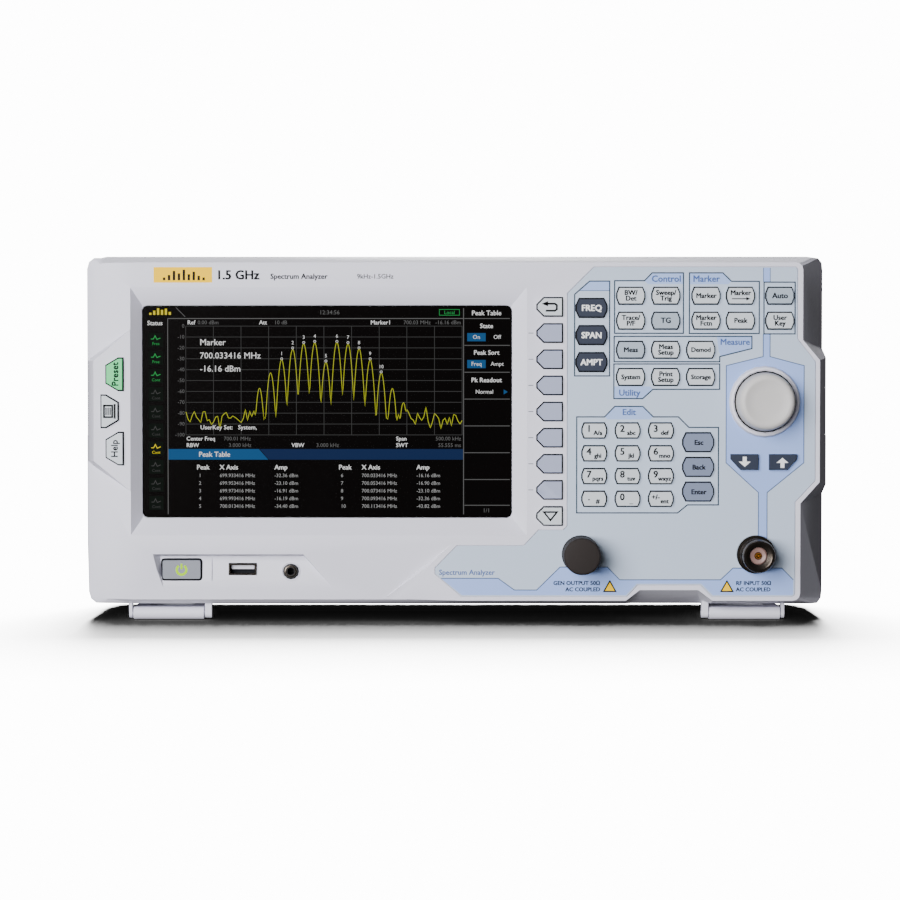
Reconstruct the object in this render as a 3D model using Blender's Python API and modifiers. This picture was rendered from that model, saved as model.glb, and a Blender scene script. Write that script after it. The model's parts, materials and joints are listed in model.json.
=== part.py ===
"""Bench spectrum analyzer: bezel, rear housing, keys, knob, connectors, handle, legs and what is inside.

Frame: +X to the user's right, the front faces -Y, +Z up, origin under the middle of the box, on the table.
Every length below is in millimetres; the makers turn them to metres.
"""

import math

import bmesh
import bpy
from mathutils import Matrix, Vector

MM = 0.001

# Driving dimensions.
WIDTH = 361.6
HEIGHT = 178.8
DEPTH = 128.0
FOOT_HEIGHT = 6.6
FRONT = -45.0  # the flat front face; caps and connectors stand forward of it
BEZEL_DEPTH = 30.0
REAR = 62.5  # the rear wall's outer face
GAP = 0.3  # clearance between pieces that touch

SIDE = WIDTH / 2
CASE_CORNER = 7.0
RIM_DEPTH = 10.0  # how far back the bezel's edge chamfer reaches
DRAFT = 1.5  # how much lower the rim is than the back at the top, and higher at the bottom
LIP_TOP = 174.7
LIP_BOTTOM = 10.2
KNEE_SIDE = 176.5
LEFT_BREAK = -158.2  # where the front starts to fall away to the left
LEFT_SLOPE = 0.355
CHIN_TOP = 38.0
CHIN_SLOPE = 0.22
CHIN_KNEE = 10.3
SCALLOP_DEPTH = 24.0
NOTCH_DEPTH = 14.0

WALL = 2.5
FRONT_WALL = 3.0
OVERLAY_POCKET = 0.9
OVERLAY_FACE = 0.1
OVERLAY_THICKNESS = 0.5

WINDOW = (-153.2, 50.5, 26.8, 153.8)  # left, bottom, right, top
RECESS = (-158.7, 41.7, 34.4, 163.1)
RECESS_DEPTH = 6.0
WINDOW_CORNER = 2.5

KEY_CLEARANCE = 0.35
KEY_PROUD = 1.8
FLANGE_GROW = 1.2
FLANGE_DEPTH = 3.3
FLANGE_THICKNESS = 1.2
PLUNGER_RADIUS = 1.6
PLUNGER_LENGTH = 1.7
BOARD_DEPTH = 8.3
BOARD_THICKNESS = 1.6

KNOB_CENTRE = (149.7, 107.1)
KNOB_RADIUS = 14.5
COLLAR_RADIUS = 17.4
CONNECTOR_HEIGHT = 32.9
GENERATOR_X = 60.4
INPUT_X = 145.4
CONNECTOR_LENGTH = 17.0
LEG_X = 141.4
LEG_WIDTH = 34.8
INNER_LUG = 3.2
OUTER_LUG = 1.5
LEG_PIVOT_Y = -32.0
LEG_RADIUS = 3.1
LEG_LENGTH = 42.0
FAN_CENTRE = (-120.0, 110.0)
FAN_SIZE = 60.0
FAN_FRONT = 40.0
FAN_DEPTH = 15.0

# Key outlines, as half sizes: width, height and how far each side's point stands out.
FUNCTION_KEY = (6.4, 3.7, 1.0)
BIG_KEY = (7.1, 4.2, 1.4)
DIGIT_KEY = (5.6, 3.3, 0.9)
FUNCTION_COLUMNS = (84.5, 101.5, 118.5)
MARKER_COLUMNS = (121.0, 137.7)
AUTO_COLUMN = 156.8
FUNCTION_ROWS = (158.5, 146.4, 132.3, 119.1)
BIG_COLUMN = 65.5
BIG_ROWS = (152.6, 139.4, 126.3)
DIGIT_COLUMNS = (66.9, 83.1, 99.3)
DIGIT_ROWS = (93.1, 82.0, 70.9, 59.9)
EDIT_COLUMN = 117.4
EDIT_ROWS = (87.4, 75.4, 63.4)
SOFT_KEY_X = 45.4
SOFT_KEY_TOP = 153.1
SOFT_KEY_PITCH = 12.7
ARROW_ROW = 77.8
ARROW_COLUMNS = (139.7, 158.4)
SIDE_KEYS = {"key_preset": (-166.2, 120.4), "key_print": (-168.6, 102.4), "key_help": (-166.2, 84.3)}
POWER_KEY = (-134.4, 25.0)
TRAY_FLOOR = (4.8, 0.1, 16.0)  # depth at its lower edge, slope, height of that edge


# ---------------------------------------------------------------- makers

def clear_scene():
    for item in list(bpy.data.objects):
        bpy.data.objects.remove(item, do_unlink=True)


def new_collection(name):
    made = bpy.data.collections.new(name)
    bpy.context.scene.collection.children.link(made)
    return made


def new_material(name, colour, roughness, metallic=0.0):
    made = bpy.data.materials.new(name)
    made.use_nodes = True
    shader = made.node_tree.nodes["Principled BSDF"]
    shader.inputs["Base Color"].default_value = (*colour, 1.0)
    shader.inputs["Roughness"].default_value = roughness
    shader.inputs["Metallic"].default_value = metallic
    return made


def to_object(name, mesh):
    made = bpy.data.objects.new(name, mesh)
    PARTS.objects.link(made)
    return made


def evaluated_mesh(item):
    bpy.context.view_layer.update()
    graph = bpy.context.evaluated_depsgraph_get()
    return bpy.data.meshes.new_from_object(item.evaluated_get(graph))


def tidy(mesh):
    """Welds the seams of a mesh and turns its faces outwards."""
    work = bmesh.new()
    work.from_mesh(mesh)
    bmesh.ops.remove_doubles(work, verts=work.verts, dist=0.00001)
    bmesh.ops.recalc_face_normals(work, faces=work.faces)
    work.to_mesh(mesh)
    work.free()


def prism(name, outline, near, far, holes=()):
    """A flat outline in X and Z with any holes, filled by a 2D curve and extruded along Y."""
    curve = bpy.data.curves.new(name, "CURVE")
    curve.dimensions = "2D"
    curve.fill_mode = "BOTH"
    curve.extrude = (far - near) / 2 * MM
    for loop in (outline, *holes):
        spline = curve.splines.new("POLY")
        spline.points.add(len(loop) - 1)
        for point, (x, z) in zip(spline.points, loop):
            point.co = (x * MM, z * MM, 0.0, 1.0)
        spline.use_cyclic_u = True
    drawn = to_object(name + "_outline", curve)
    mesh = evaluated_mesh(drawn)
    bpy.data.objects.remove(drawn)
    middle = (near + far) / 2 * MM
    mesh.transform(Matrix.Translation((0.0, middle, 0.0)) @ Matrix.Rotation(math.pi / 2, 4, "X"))
    tidy(mesh)
    return to_object(name, mesh)


def block(name, low, high):
    """A box between two corners."""
    work = bmesh.new()
    bmesh.ops.create_cube(work, size=1.0)
    size = [(b - a) * MM for a, b in zip(low, high)]
    middle = [(a + b) / 2 * MM for a, b in zip(low, high)]
    bmesh.ops.scale(work, verts=work.verts, vec=size)
    bmesh.ops.translate(work, verts=work.verts, vec=middle)
    mesh = bpy.data.meshes.new(name)
    work.to_mesh(mesh)
    work.free()
    return to_object(name, mesh)


def rod(name, radius, near, far, centre, sides=16, axis="Y"):
    """A cylinder along an axis. The centre gives the other two coordinates, in X, Y, Z order."""
    work = bmesh.new()
    bmesh.ops.create_cone(
        work, cap_ends=True, segments=sides, radius1=radius * MM, radius2=radius * MM, depth=(far - near) * MM
    )
    turns = {"X": Matrix.Rotation(math.pi / 2, 4, "Y"), "Y": Matrix.Rotation(math.pi / 2, 4, "X")}
    turn = turns.get(axis, Matrix())
    middle = list(centre)
    middle.insert("XYZ".index(axis), (near + far) / 2)
    bmesh.ops.transform(work, matrix=Matrix.Translation(Vector(middle) * MM) @ turn, verts=work.verts)
    mesh = bpy.data.meshes.new(name)
    work.to_mesh(mesh)
    work.free()
    return to_object(name, mesh)


def turned(name, profile, centre, sides=16):
    """A profile of (radius, y) points, from one end of the axis to the other, turned about the Y axis."""
    mesh = bpy.data.meshes.new(name)
    points = [(radius * MM, y * MM, 0.0) for radius, y in profile]
    mesh.from_pydata(points, [(i, i + 1) for i in range(len(points) - 1)], [])
    drawn = to_object(name + "_profile", mesh)
    screw = drawn.modifiers.new("turn", "SCREW")
    screw.axis = "Y"
    screw.steps = screw.render_steps = sides
    screw.use_merge_vertices = True
    screw.merge_threshold = 0.00001
    solid = evaluated_mesh(drawn)
    bpy.data.objects.remove(drawn)
    tidy(solid)
    x, z = centre
    solid.transform(Matrix.Translation((x * MM, 0.0, z * MM)))
    return to_object(name, solid)


def loft(name, rings):
    """A closed skin through rings that have the same number of points, as (x, y, z)."""
    work = bmesh.new()
    made = [[work.verts.new(Vector(point) * MM) for point in ring] for ring in rings]
    count = len(rings[0])
    for first, second in zip(made, made[1:]):
        for i in range(count):
            j = (i + 1) % count
            work.faces.new((first[i], first[j], second[j], second[i]))
    work.faces.new(made[0])
    work.faces.new(made[-1])
    bmesh.ops.remove_doubles(work, verts=work.verts, dist=0.00001)
    bmesh.ops.dissolve_degenerate(work, edges=work.edges, dist=0.00001)
    bmesh.ops.triangulate(work, faces=[face for face in work.faces if len(face.verts) > 3])
    bmesh.ops.recalc_face_normals(work, faces=work.faces)
    mesh = bpy.data.meshes.new(name)
    work.to_mesh(mesh)
    work.free()
    return to_object(name, mesh)


def combine(item, other, operation):
    """Cuts other out of item, or joins it to item, and removes other."""
    modifier = item.modifiers.new(operation.lower(), "BOOLEAN")
    modifier.operation = operation
    modifier.object = other
    mesh = evaluated_mesh(item)
    item.modifiers.clear()
    item.data = mesh
    bpy.data.objects.remove(other)
    return item


def cut(item, *cutters):
    for cutter in cutters:
        combine(item, cutter, "DIFFERENCE")
    return item


def unite(item, *others):
    for other in others:
        combine(item, other, "UNION")
    return item


def gather(name, items):
    """Several separate solids as one object, for pieces that share a node."""
    work = bmesh.new()
    for item in items:
        moved = item.data.copy()
        moved.transform(item.matrix_basis)
        work.from_mesh(moved)
        bpy.data.objects.remove(item)
    mesh = bpy.data.meshes.new(name)
    work.to_mesh(mesh)
    work.free()
    return to_object(name, mesh)


def dress(item, material, pivot=None):
    """Gives an object its material, its parent and, where it moves, an origin on its joint's axis."""
    item.data.materials.clear()
    item.data.materials.append(material)
    item.data.shade_smooth()
    item.data.set_sharp_from_angle(angle=math.radians(30))
    if pivot:
        place = Vector(pivot) * MM
        item.data.transform(Matrix.Translation(-place))
        item.location = place
    item.parent = ANALYZER
    return item


# ---------------------------------------------------------------- outlines

def arc(centre, radius, start, end, steps):
    """Points of an arc, in degrees, both ends included."""
    angles = [math.radians(start + (end - start) * i / steps) for i in range(steps + 1)]
    return [(centre[0] + radius * math.cos(a), centre[1] + radius * math.sin(a)) for a in angles]


def rounded(points, radius, steps=2):
    """An outline with each corner turned into an arc."""
    made = []
    for i, corner in enumerate(points):
        here = Vector(corner)
        before = (Vector(points[i - 1]) - here).normalized()
        after = (Vector(points[(i + 1) % len(points)]) - here).normalized()
        half = before.angle(after) / 2
        reach = radius / math.tan(half)
        middle = here + (before + after).normalized() * (radius / math.sin(half))
        start = here + before * reach - middle
        sweep = start.angle_signed(here + after * reach - middle)
        made += [tuple(middle + Matrix.Rotation(-sweep * k / steps, 2) @ start) for k in range(steps + 1)]
    return made


def rectangle(left, bottom, right, top):
    return [(left, bottom), (right, bottom), (right, top), (left, top)]


def grow(points, margin):
    """An outline moved outwards by a margin, for outlines that run anticlockwise."""
    made = []
    for i, corner in enumerate(points):
        here = Vector(corner)
        into = (here - Vector(points[i - 1])).normalized()
        out = (Vector(points[(i + 1) % len(points)]) - here).normalized()
        normal_in = Vector((into.y, -into.x))
        normal_out = Vector((out.y, -out.x))
        joined = normal_in + normal_out
        made.append(tuple(here + joined * (margin / (1 + normal_in.dot(normal_out)))))
    return made


def shift(points, x, z):
    return [(px + x, pz + z) for px, pz in points]


def pointed_key(half_width, half_height, point):
    """A key with straight top and bottom and sides that come to a blunt point."""
    edge = half_width - point
    flat = half_height * 0.3
    right = [(edge, -half_height), (half_width, -flat), (half_width, flat), (edge, half_height)]
    return right + [(-x, z) for x, z in reversed(right)]


def soft_key():
    """A key with a square right end and a pointed left end."""
    return [(5.6, -4.1), (5.6, 4.1), (-2.9, 4.1), (-6.0, 1.0), (-6.0, -1.0), (-2.9, -4.1)]


def side_key(mirrored):
    """A tall key with one long side and one short side."""
    points = [(3.8, -7.5), (3.8, 7.5), (1.9, 7.5), (-3.8, 4.1), (-3.8, -4.1), (1.9, -7.5)]
    return [(-x, z) for x, z in reversed(points)] if mirrored else points


def arrow_key(mirrored):
    """A key with its lower outer corner cut off."""
    points = [(6.65, -3.85), (6.65, 3.85), (-6.65, 3.85), (-6.65, 1.4), (-1.8, -3.85)]
    return [(-x, z) for x, z in reversed(points)] if mirrored else points


def overlay_outline():
    """The printed film that covers the key field, the knob and both connectors, anticlockwise."""
    return [
        (53.9, 46.6), (53.9, 159.7), (66.7, 172.4), (164.4, 172.4), (165.4, 171.4), (165.4, 137.6),
        (174.2, 126.5),
        (174.2, 68.8), (164.5, 58.4), (164.5, 13.4), (163.5, 12.4), (124.4, 12.4), (118.8, 18.0),
        (88.0, 18.0),
        (82.8, 12.4), (2.4, 12.4), (-10.4, 23.4), (-10.4, 26.2), (0.2, 37.0), (32.8, 37.0),
        (39.9, 44.6), (51.9, 44.6),
    ][::-1]


# ---------------------------------------------------------------- the keys

def key_places():
    """Every key as name: (outline, [(x, z), ...], material). The keys of one row may share a node."""
    function = pointed_key(*FUNCTION_KEY)
    big = pointed_key(*BIG_KEY)
    digit = pointed_key(*DIGIT_KEY)
    row_1, row_2, row_3, row_4 = FUNCTION_ROWS
    left, middle, right = FUNCTION_COLUMNS
    places = {}
    for name, z in zip(("key_frequency", "key_span", "key_amplitude"), BIG_ROWS):
        places[name] = (big, [(BIG_COLUMN, z)], "dark_key")
    for name, z in zip(("key_escape", "key_back", "key_enter"), EDIT_ROWS):
        places[name] = (big, [(EDIT_COLUMN, z)], "grey_key")
    places["key_auto"] = (function, [(AUTO_COLUMN, row_1)], "grey_key")
    places["key_user"] = (function, [(AUTO_COLUMN, row_2)], "pale_key")
    places["keys_control_upper"] = (function, [(left, row_1), (middle, row_1)], "pale_key")
    places["keys_control_lower"] = (function, [(left, row_2), (middle, row_2)], "pale_key")
    places["keys_marker_upper"] = (function, [(x, row_1) for x in MARKER_COLUMNS], "pale_key")
    places["keys_marker_lower"] = (function, [(x, row_2) for x in MARKER_COLUMNS], "pale_key")
    places["keys_measure_row"] = (function, [(x, row_3) for x in FUNCTION_COLUMNS], "pale_key")
    places["keys_utility_row"] = (function, [(x, row_4) for x in FUNCTION_COLUMNS], "pale_key")
    for name, z in zip(("keys_1_2_3", "keys_4_5_6", "keys_7_8_9", "keys_point_0_sign"), DIGIT_ROWS):
        places[name] = (digit, [(x, z) for x in DIGIT_COLUMNS], "pale_key")
    for i in range(9):
        name = {0: "soft_key_return", 8: "soft_key_page"}.get(i, f"soft_key_{i}")
        tone = "pale_key" if i in (0, 8) else "grey_key"
        places[name] = (soft_key(), [(SOFT_KEY_X, SOFT_KEY_TOP - SOFT_KEY_PITCH * i)], tone)
    places["key_down"] = (arrow_key(False), [(ARROW_COLUMNS[0], ARROW_ROW)], "dark_key")
    places["key_up"] = (arrow_key(True), [(ARROW_COLUMNS[1], ARROW_ROW)], "dark_key")
    for name, place in SIDE_KEYS.items():
        tone = "green_key" if name == "key_preset" else "pale_key"
        places[name] = (side_key(name == "key_print"), [place], tone)
    return places


def make_key(name, outline, place):
    """A moulded key: a cap through the bezel, a flange that stops it, and a plunger over its dome."""
    x, z = place
    flange_far = FRONT + FLANGE_DEPTH + FLANGE_THICKNESS
    cap = prism(name, shift(outline, x, z), FRONT - KEY_PROUD, flange_far - 0.4)
    flange = prism("flange", shift(grow(outline, FLANGE_GROW), x, z), FRONT + FLANGE_DEPTH, flange_far)
    plunger = rod("plunger", PLUNGER_RADIUS, flange_far - 0.5, flange_far + PLUNGER_LENGTH, (x, z), sides=6)
    return unite(cap, flange, plunger)


def make_keys(tones):
    for name, (outline, places, tone) in key_places().items():
        made, *others = [make_key(name, outline, place) for place in places]
        unite(made, *others)
        if others:
            near = FRONT + FLANGE_DEPTH
            (left, z), (right, _) = places[0], places[-1]
            unite(made, block("web", (left, near, z - 2), (right, near + FLANGE_THICKNESS, z + 2)))
        x = sum(place[0] for place in places) / len(places)
        dress(made, tones[tone], (x, FRONT, places[0][1]))


def make_power_button(tone):
    x, z = POWER_KEY
    back = FRONT + 12.0
    cap = prism(
        "power_button", rounded(rectangle(x - 9.2, z - 4.5, x + 9.2, z + 4.5), 0.8), FRONT + 4.4,
        back + 0.8,
    )
    flange = block("flange", (x - 10.8, back + GAP, z - 6.1), (x + 10.8, back + GAP + 1.2, z + 6.1))
    plunger = rod("plunger", 2.0, back + 1.0, back + 3.5, (x, z), sides=8)
    dress(unite(cap, flange, plunger), tone, (x, FRONT, z))


# ---------------------------------------------------------------- the case

def pulled_in(x, z):
    """A point of the back's outline moved in by the draft at top and bottom, for the rim."""
    return x, max(FOOT_HEIGHT + DRAFT, min(HEIGHT - DRAFT, z))


def bezel_rings():
    """The bezel's rings, station by station: edge of the flat front, knee, widest rim and back."""
    lip_corner = arc((-155.2, 171.7), 3.0, 180, 90, 3)
    knee_corner = arc((-171.5, 169.7), 5.0, 180, 90, 3)
    top_left = arc((-SIDE + CASE_CORNER, HEIGHT - CASE_CORNER), CASE_CORNER, 180, 90, 3)
    top_right = arc((SIDE - CASE_CORNER, HEIGHT - CASE_CORNER), CASE_CORNER, 90, 0, 3)
    floor = FOOT_HEIGHT
    low_right = arc((SIDE - CASE_CORNER, floor + CASE_CORNER), CASE_CORNER, 0, -90, 3)
    low_left = arc((-SIDE + CASE_CORNER, floor + CASE_CORNER), CASE_CORNER, -90, -180, 3)
    stations = []

    def add(front, knee, rim, rim_depth=RIM_DEPTH):
        x, z = knee
        depth = 0.0
        if knee != front:
            depth += max(0.0, LEFT_BREAK - x) * LEFT_SLOPE
            depth += max(0.0, CHIN_TOP - z) * CHIN_SLOPE if x < 0 else 0.0
        stations.append((front, knee, depth, rim, max(rim_depth, depth + 2.5)))

    for front, knee, rim in zip(lip_corner, knee_corner, top_left):
        add(front, knee, rim)
    right_corner = arc((164.7, 171.2), 3.5, 90, 0, 3)
    for point, rim, depth in zip(right_corner, top_right, (RIM_DEPTH, 14.0, 20.0, SCALLOP_DEPTH)):
        add(point, point, rim, depth)
    add((168.2, 137.0), (168.2, 137.0), (SIDE, 133.0), SCALLOP_DEPTH)
    add((KNEE_SIDE, 127.2), (KNEE_SIDE, 127.2), (SIDE, 128.6))
    add((KNEE_SIDE, 68.0), (KNEE_SIDE, 68.0), (SIDE, 66.6))
    add((167.2, 57.6), (167.2, 57.6), (SIDE, 61.6), SCALLOP_DEPTH)
    for point, rim, depth in zip(
        arc((163.7, 13.7), 3.5, 0, -90, 3), low_right, (SCALLOP_DEPTH, 20.0, 14.0, RIM_DEPTH),
    ):
        add(point, point, rim, depth)
    for x, z, rim_x, depth in (
        (124.6, LIP_BOTTOM, 124.6, RIM_DEPTH), (117.6, 15.4, 119.0, NOTCH_DEPTH),
        (89.2, 15.4, 88.0, NOTCH_DEPTH), (82.4, LIP_BOTTOM, 82.4, RIM_DEPTH),
        (1.6, LIP_BOTTOM, 1.6, RIM_DEPTH),
    ):
        add((x, z), (x, z), (rim_x, floor), depth)
    for front, knee_x in (((-13.4, 22.4), -22.0), ((-13.4, 27.2), -30.0), ((-2.4, CHIN_TOP), -36.0)):
        add(front, (knee_x, CHIN_KNEE), (knee_x, floor))
    corner = (LEFT_BREAK, CHIN_TOP)
    add(corner, (LEFT_BREAK, CHIN_KNEE), (LEFT_BREAK, floor))
    for knee, rim in zip(arc((-171.5, CHIN_KNEE + 5.0), 5.0, -90, -180, 3), low_left):
        add(corner, knee, rim)
    add(corner, (-KNEE_SIDE, CHIN_TOP), (-SIDE, CHIN_TOP))
    add((LEFT_BREAK, 63.2), (-KNEE_SIDE, 75.0), (-SIDE, 75.0))
    add((-KNEE_SIDE, 78.2), (-KNEE_SIDE, 78.2), (-SIDE, 78.2))
    add((-KNEE_SIDE, 126.8), (-KNEE_SIDE, 126.8), (-SIDE, 126.8))
    add((LEFT_BREAK, 142.4), (-KNEE_SIDE, 130.0), (-SIDE, 130.0))
    front = [(x, FRONT, z) for (x, z), _, _, _, _ in stations]
    knee = [(x, FRONT + depth, z) for _, (x, z), depth, _, _ in stations]
    rim = []
    for _, _, _, place, depth in stations:
        x, z = pulled_in(*place)
        rim.append((x, FRONT + depth, z))
    back = [(x, FRONT + BEZEL_DEPTH, z) for _, _, _, (x, z), _ in stations]
    return front, knee, rim, back


def tray_cutter():
    """The tray around the power button and the front sockets, flush with the chin below."""
    depth, slope, height = TRAY_FLOOR
    cutter = prism(
        "tray", [(-148.2, height), (-60.4, height), (-74.6, 33.5), (-149.8, 33.5)], FRONT - 2,
        FRONT + 4,
    )
    for vertex in cutter.data.vertices:
        if vertex.co.y < FRONT * MM:
            continue
        if vertex.co.z > 30 * MM:
            vertex.co.z -= 2.0 * MM
        if vertex.co.x < -145 * MM:
            vertex.co.x += 4.8 * MM
        vertex.co.y = (FRONT + depth + slope * (vertex.co.z / MM - height)) * MM
    return unite(cutter, block("groove", (-119.7, FRONT - 1, 19.5), (-119.3, FRONT + 6.8, 30.0)))


def display_recess_cutter():
    """Four sloping sides that lead down to the display window."""
    rings = []
    for y, box in ((FRONT - 0.5, grow(rectangle(*RECESS), 0.4)), (FRONT + RECESS_DEPTH, rectangle(*WINDOW))):
        rings.append([(x, y, z) for x, z in box])
    return loft("recess", rings)


def bezel_holes():
    """Every hole through the bezel's front wall, as one group of cutters."""
    back = FRONT + BOARD_DEPTH
    cutters = []
    for name, (outline, places, _) in key_places().items():
        hole = grow(outline, KEY_CLEARANCE)
        cutters += [prism("hole", shift(hole, x, z), FRONT - 1, back) for x, z in places]
    for x in (GENERATOR_X, INPUT_X):
        cutters.append(rod("hole", 6.8, FRONT - 1, back, (x, CONNECTOR_HEIGHT), sides=16))
    cutters.append(rod("hole", 4.0, FRONT - 5, back, KNOB_CENTRE, sides=16))
    return gather("holes", cutters)


def socket_holes():
    """The holes in the tray for the power button, the USB socket and the headphone jack."""
    x, z = POWER_KEY
    button = rounded(rectangle(x - 9.7, z - 5.0, x + 9.7, z + 5.0), 0.9)
    usb = rectangle(USB_X - 6.85, USB_Z - 2.95, USB_X + 6.85, USB_Z + 2.95)
    near, far = FRONT + 2, FRONT + 13
    cutters = [prism("hole", outline, near, far) for outline in (button, usb)]
    cutters.append(rod("hole", 3.3, near, far, (JACK_X, JACK_Z), sides=16))
    return gather("socket_holes", cutters)


def make_bezel(tone):
    body = loft("front_bezel", bezel_rings())
    deep = FRONT + 12.0
    end = FRONT + BEZEL_DEPTH + 1
    for side in (-1, 1):
        for direction, width in ((-1, INNER_LUG), (1, OUTER_LUG)):
            reach = LEG_X + direction * (LEG_WIDTH / 2 + 0.5 + width / 2)
            low, high = side * reach - width / 2, side * reach + width / 2
            y, r = LEG_PIVOT_Y, LEG_RADIUS
            lug = block("lug", (low, y - 2.4, r), (high, y + 2.4, FOOT_HEIGHT + 3))
            unite(lug, rod("lug_end", 2.4, low, high, (y, r), sides=16, axis="X"))
            cut(lug, rod("pin_hole", 1.45, low - 1, high + 1, (y, r), sides=12, axis="X"))
            unite(body, lug)
    cut(body, display_recess_cutter(), tray_cutter())
    cut(body, block("cavity", (-172, deep, 11.2), (172, end, 174.4)))
    cut(body, block("key_pocket", (37, FRONT + FRONT_WALL, 18.4), (165.4, deep + 0.1, 170)))
    cut(body, block("arrow_pocket", (150, FRONT + FRONT_WALL, 71), (167.6, deep + 0.1, 84)))
    wing = [(-174.5, 80.5), (-160.2, 69.0), (-160.2, 136.0), (-174.5, 124.5)]
    cut(body, prism("wing_pocket", wing, FRONT + FRONT_WALL, deep + 0.1))
    cut(body, block("display_pocket", (-159, FRONT + 8, 44), (33, deep + 0.1, 160.5)))
    window = rounded(grow(rectangle(*WINDOW), GAP), WINDOW_CORNER)
    cut(body, prism("window", window, FRONT + 5, FRONT + 8.1))
    cut(body, prism("overlay_pocket", grow(overlay_outline(), GAP), FRONT - 1, FRONT + OVERLAY_POCKET))
    collar = turned("collar", [
        (5.0, FRONT + 1.5), (COLLAR_RADIUS, FRONT + 1.5), (COLLAR_RADIUS, FRONT - 0.4), (16.6, FRONT - 2.2),
        (15.6, FRONT - 2.6), (15.0, FRONT - 2.0), (15.0, FRONT - 0.2), (5.0, FRONT - 0.2), (5.0, FRONT + 1.5),
    ], KNOB_CENTRE, sides=24)
    unite(body, collar)
    cut(body, bezel_holes(), socket_holes())
    dress(body, tone)


def make_overlay(tone):
    """The printed film, with a hole over each key, the collar and both connectors."""
    holes = []
    left = min(x for x, _ in overlay_outline())
    for name, (outline, places, _) in key_places().items():
        if name.startswith("soft_key") or places[0][0] < left:
            continue
        holes += [shift(grow(outline, KEY_CLEARANCE + 0.1), x, z) for x, z in places]
    holes.append(arc(KNOB_CENTRE, COLLAR_RADIUS + GAP + 0.2, 0, 345, 23))
    for x in (GENERATOR_X, INPUT_X):
        holes.append(arc((x, CONNECTOR_HEIGHT), 7.2, 0, 337.5, 15))
    near = FRONT + OVERLAY_FACE
    dress(prism("front_overlay", overlay_outline(), near, near + OVERLAY_THICKNESS, holes), tone)


def make_display(glass, panel):
    left, bottom, right, top = WINDOW
    window = rounded(rectangle(*WINDOW), WINDOW_CORNER - 0.2)
    dress(prism("display_window", window, FRONT + 6.2, FRONT + 7.7), glass)
    module = block("lcd_module", (left - 5, FRONT + 8.3, bottom - 5.4), (right + 5, FRONT + 13.3, top + 5.4))
    driver = block("driver_board", (left + 20, FRONT + 13.1, bottom + 8), (right - 30, FRONT + 15, top - 30))
    dress(unite(module, driver), panel)


def case_rings(inset, stops):
    """Rounded rectangles of the case's section, one for each (y, extra inset)."""
    rings = []
    for y, extra in stops:
        side = SIDE - inset - extra
        low = FOOT_HEIGHT + inset + extra
        high = HEIGHT - inset - extra
        corners = rounded(
            [(-side, low), (side, low), (side, high), (-side, high)], CASE_CORNER - inset / 2, 3,
        )
        rings.append([(x, y, z) for x, z in corners])
    return rings


def make_rear_housing(tone):
    near = FRONT + BEZEL_DEPTH + GAP
    body = loft("rear_housing", case_rings(0.0, ((near, 0.0), (38.0, 0.0), (REAR, 4.5))))
    hollow = loft("hollow", case_rings(WALL, ((near - 1, 0.0), (37.5, 0.0), (REAR - WALL, 4.2))))
    bay, grip = REAR_BAY, HANDLE_RECESS
    cut(
        hollow,
        block("bay_wall", (bay[0] - WALL, bay[1] - WALL, bay[2] - WALL), (bay[3] + WALL, REAR, bay[5] + WALL)),
    )
    cut(
        hollow,
        block("grip_wall", (grip[0] - WALL, grip[1] - WALL, grip[2] - WALL), (grip[3] + WALL, REAR, HEIGHT)),
    )
    cut(body, hollow)
    cut(body, block("bay", bay[:3], (bay[3], REAR + 1, bay[5])))
    cut(body, block("grip", grip[:3], (grip[3], grip[4], HEIGHT + 1)))
    wall_near, wall_far = bay[1] - WALL - 1, bay[1] + 1
    cutters = [rod("bnc_hole", 5.2, wall_near, wall_far, (x, SOCKET_Z), sides=12) for x in BNC_X]
    for left, right, low, high in (LAN_HOLE, USB_DEVICE_HOLE, INLET_HOLE):
        cutters.append(block("socket_hole", (left, wall_near, low), (right, wall_far, high)))
    x, z = FAN_CENTRE
    for i in range(9):
        low = z - 26 + i * 6
        cutters.append(block("fan_slot", (x - 28, REAR - WALL - 1, low), (x + 28, REAR + 1, low + 3)))
    for i in range(9):
        y = -2 + i * 6
        cutters.append(block("side_slot", (SIDE - 5.5, y, 60), (SIDE + 1, y + 3, 130)))
    cutters.append(
        block("filter_slot", (-SIDE - 1, FILTER[1] - GAP, FILTER[2] - GAP), (-165, FILTER[4] + GAP, FILTER[5] + GAP)),
    )
    for post_x in (-HANDLE_POST_X, HANDLE_POST_X):
        cutters.append(
            block("post_hole", (post_x - 5.4, 45.6, grip[2] - WALL - 1), (post_x + 5.4, 54.4, grip[2] + 1)),
        )
    cut(body, gather("rear_cutters", cutters))
    for place in SCREWS:
        unite(body, rod("screw_head", 3.2, REAR - 1, REAR + 1.5, place))
    dress(body, tone)


# ---------------------------------------------------------------- front fittings

USB_X, USB_Z = -104.6, 25.2
JACK_X, JACK_Z = -81.0, 24.1


def connector_profile():
    """An N-type socket: flange nut, barrel, inner bore with its contact, and the body behind the wall."""
    tip = FRONT - CONNECTOR_LENGTH
    return [
        (0.0, tip + 2.5), (1.6, tip + 2.5), (1.6, tip + 8.0), (4.3, tip + 8.0), (4.3, tip), (7.3, tip),
        (7.95, tip + 0.7), (7.95, FRONT - 2.9), (9.3, FRONT - 2.9), (9.3, FRONT - 0.3), (6.4, FRONT - 0.3),
        (6.4, FRONT + 7.5), (4.6, FRONT + 7.5), (4.6, FRONT + 17.0), (0.0, FRONT + 17.0),
    ]


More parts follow.
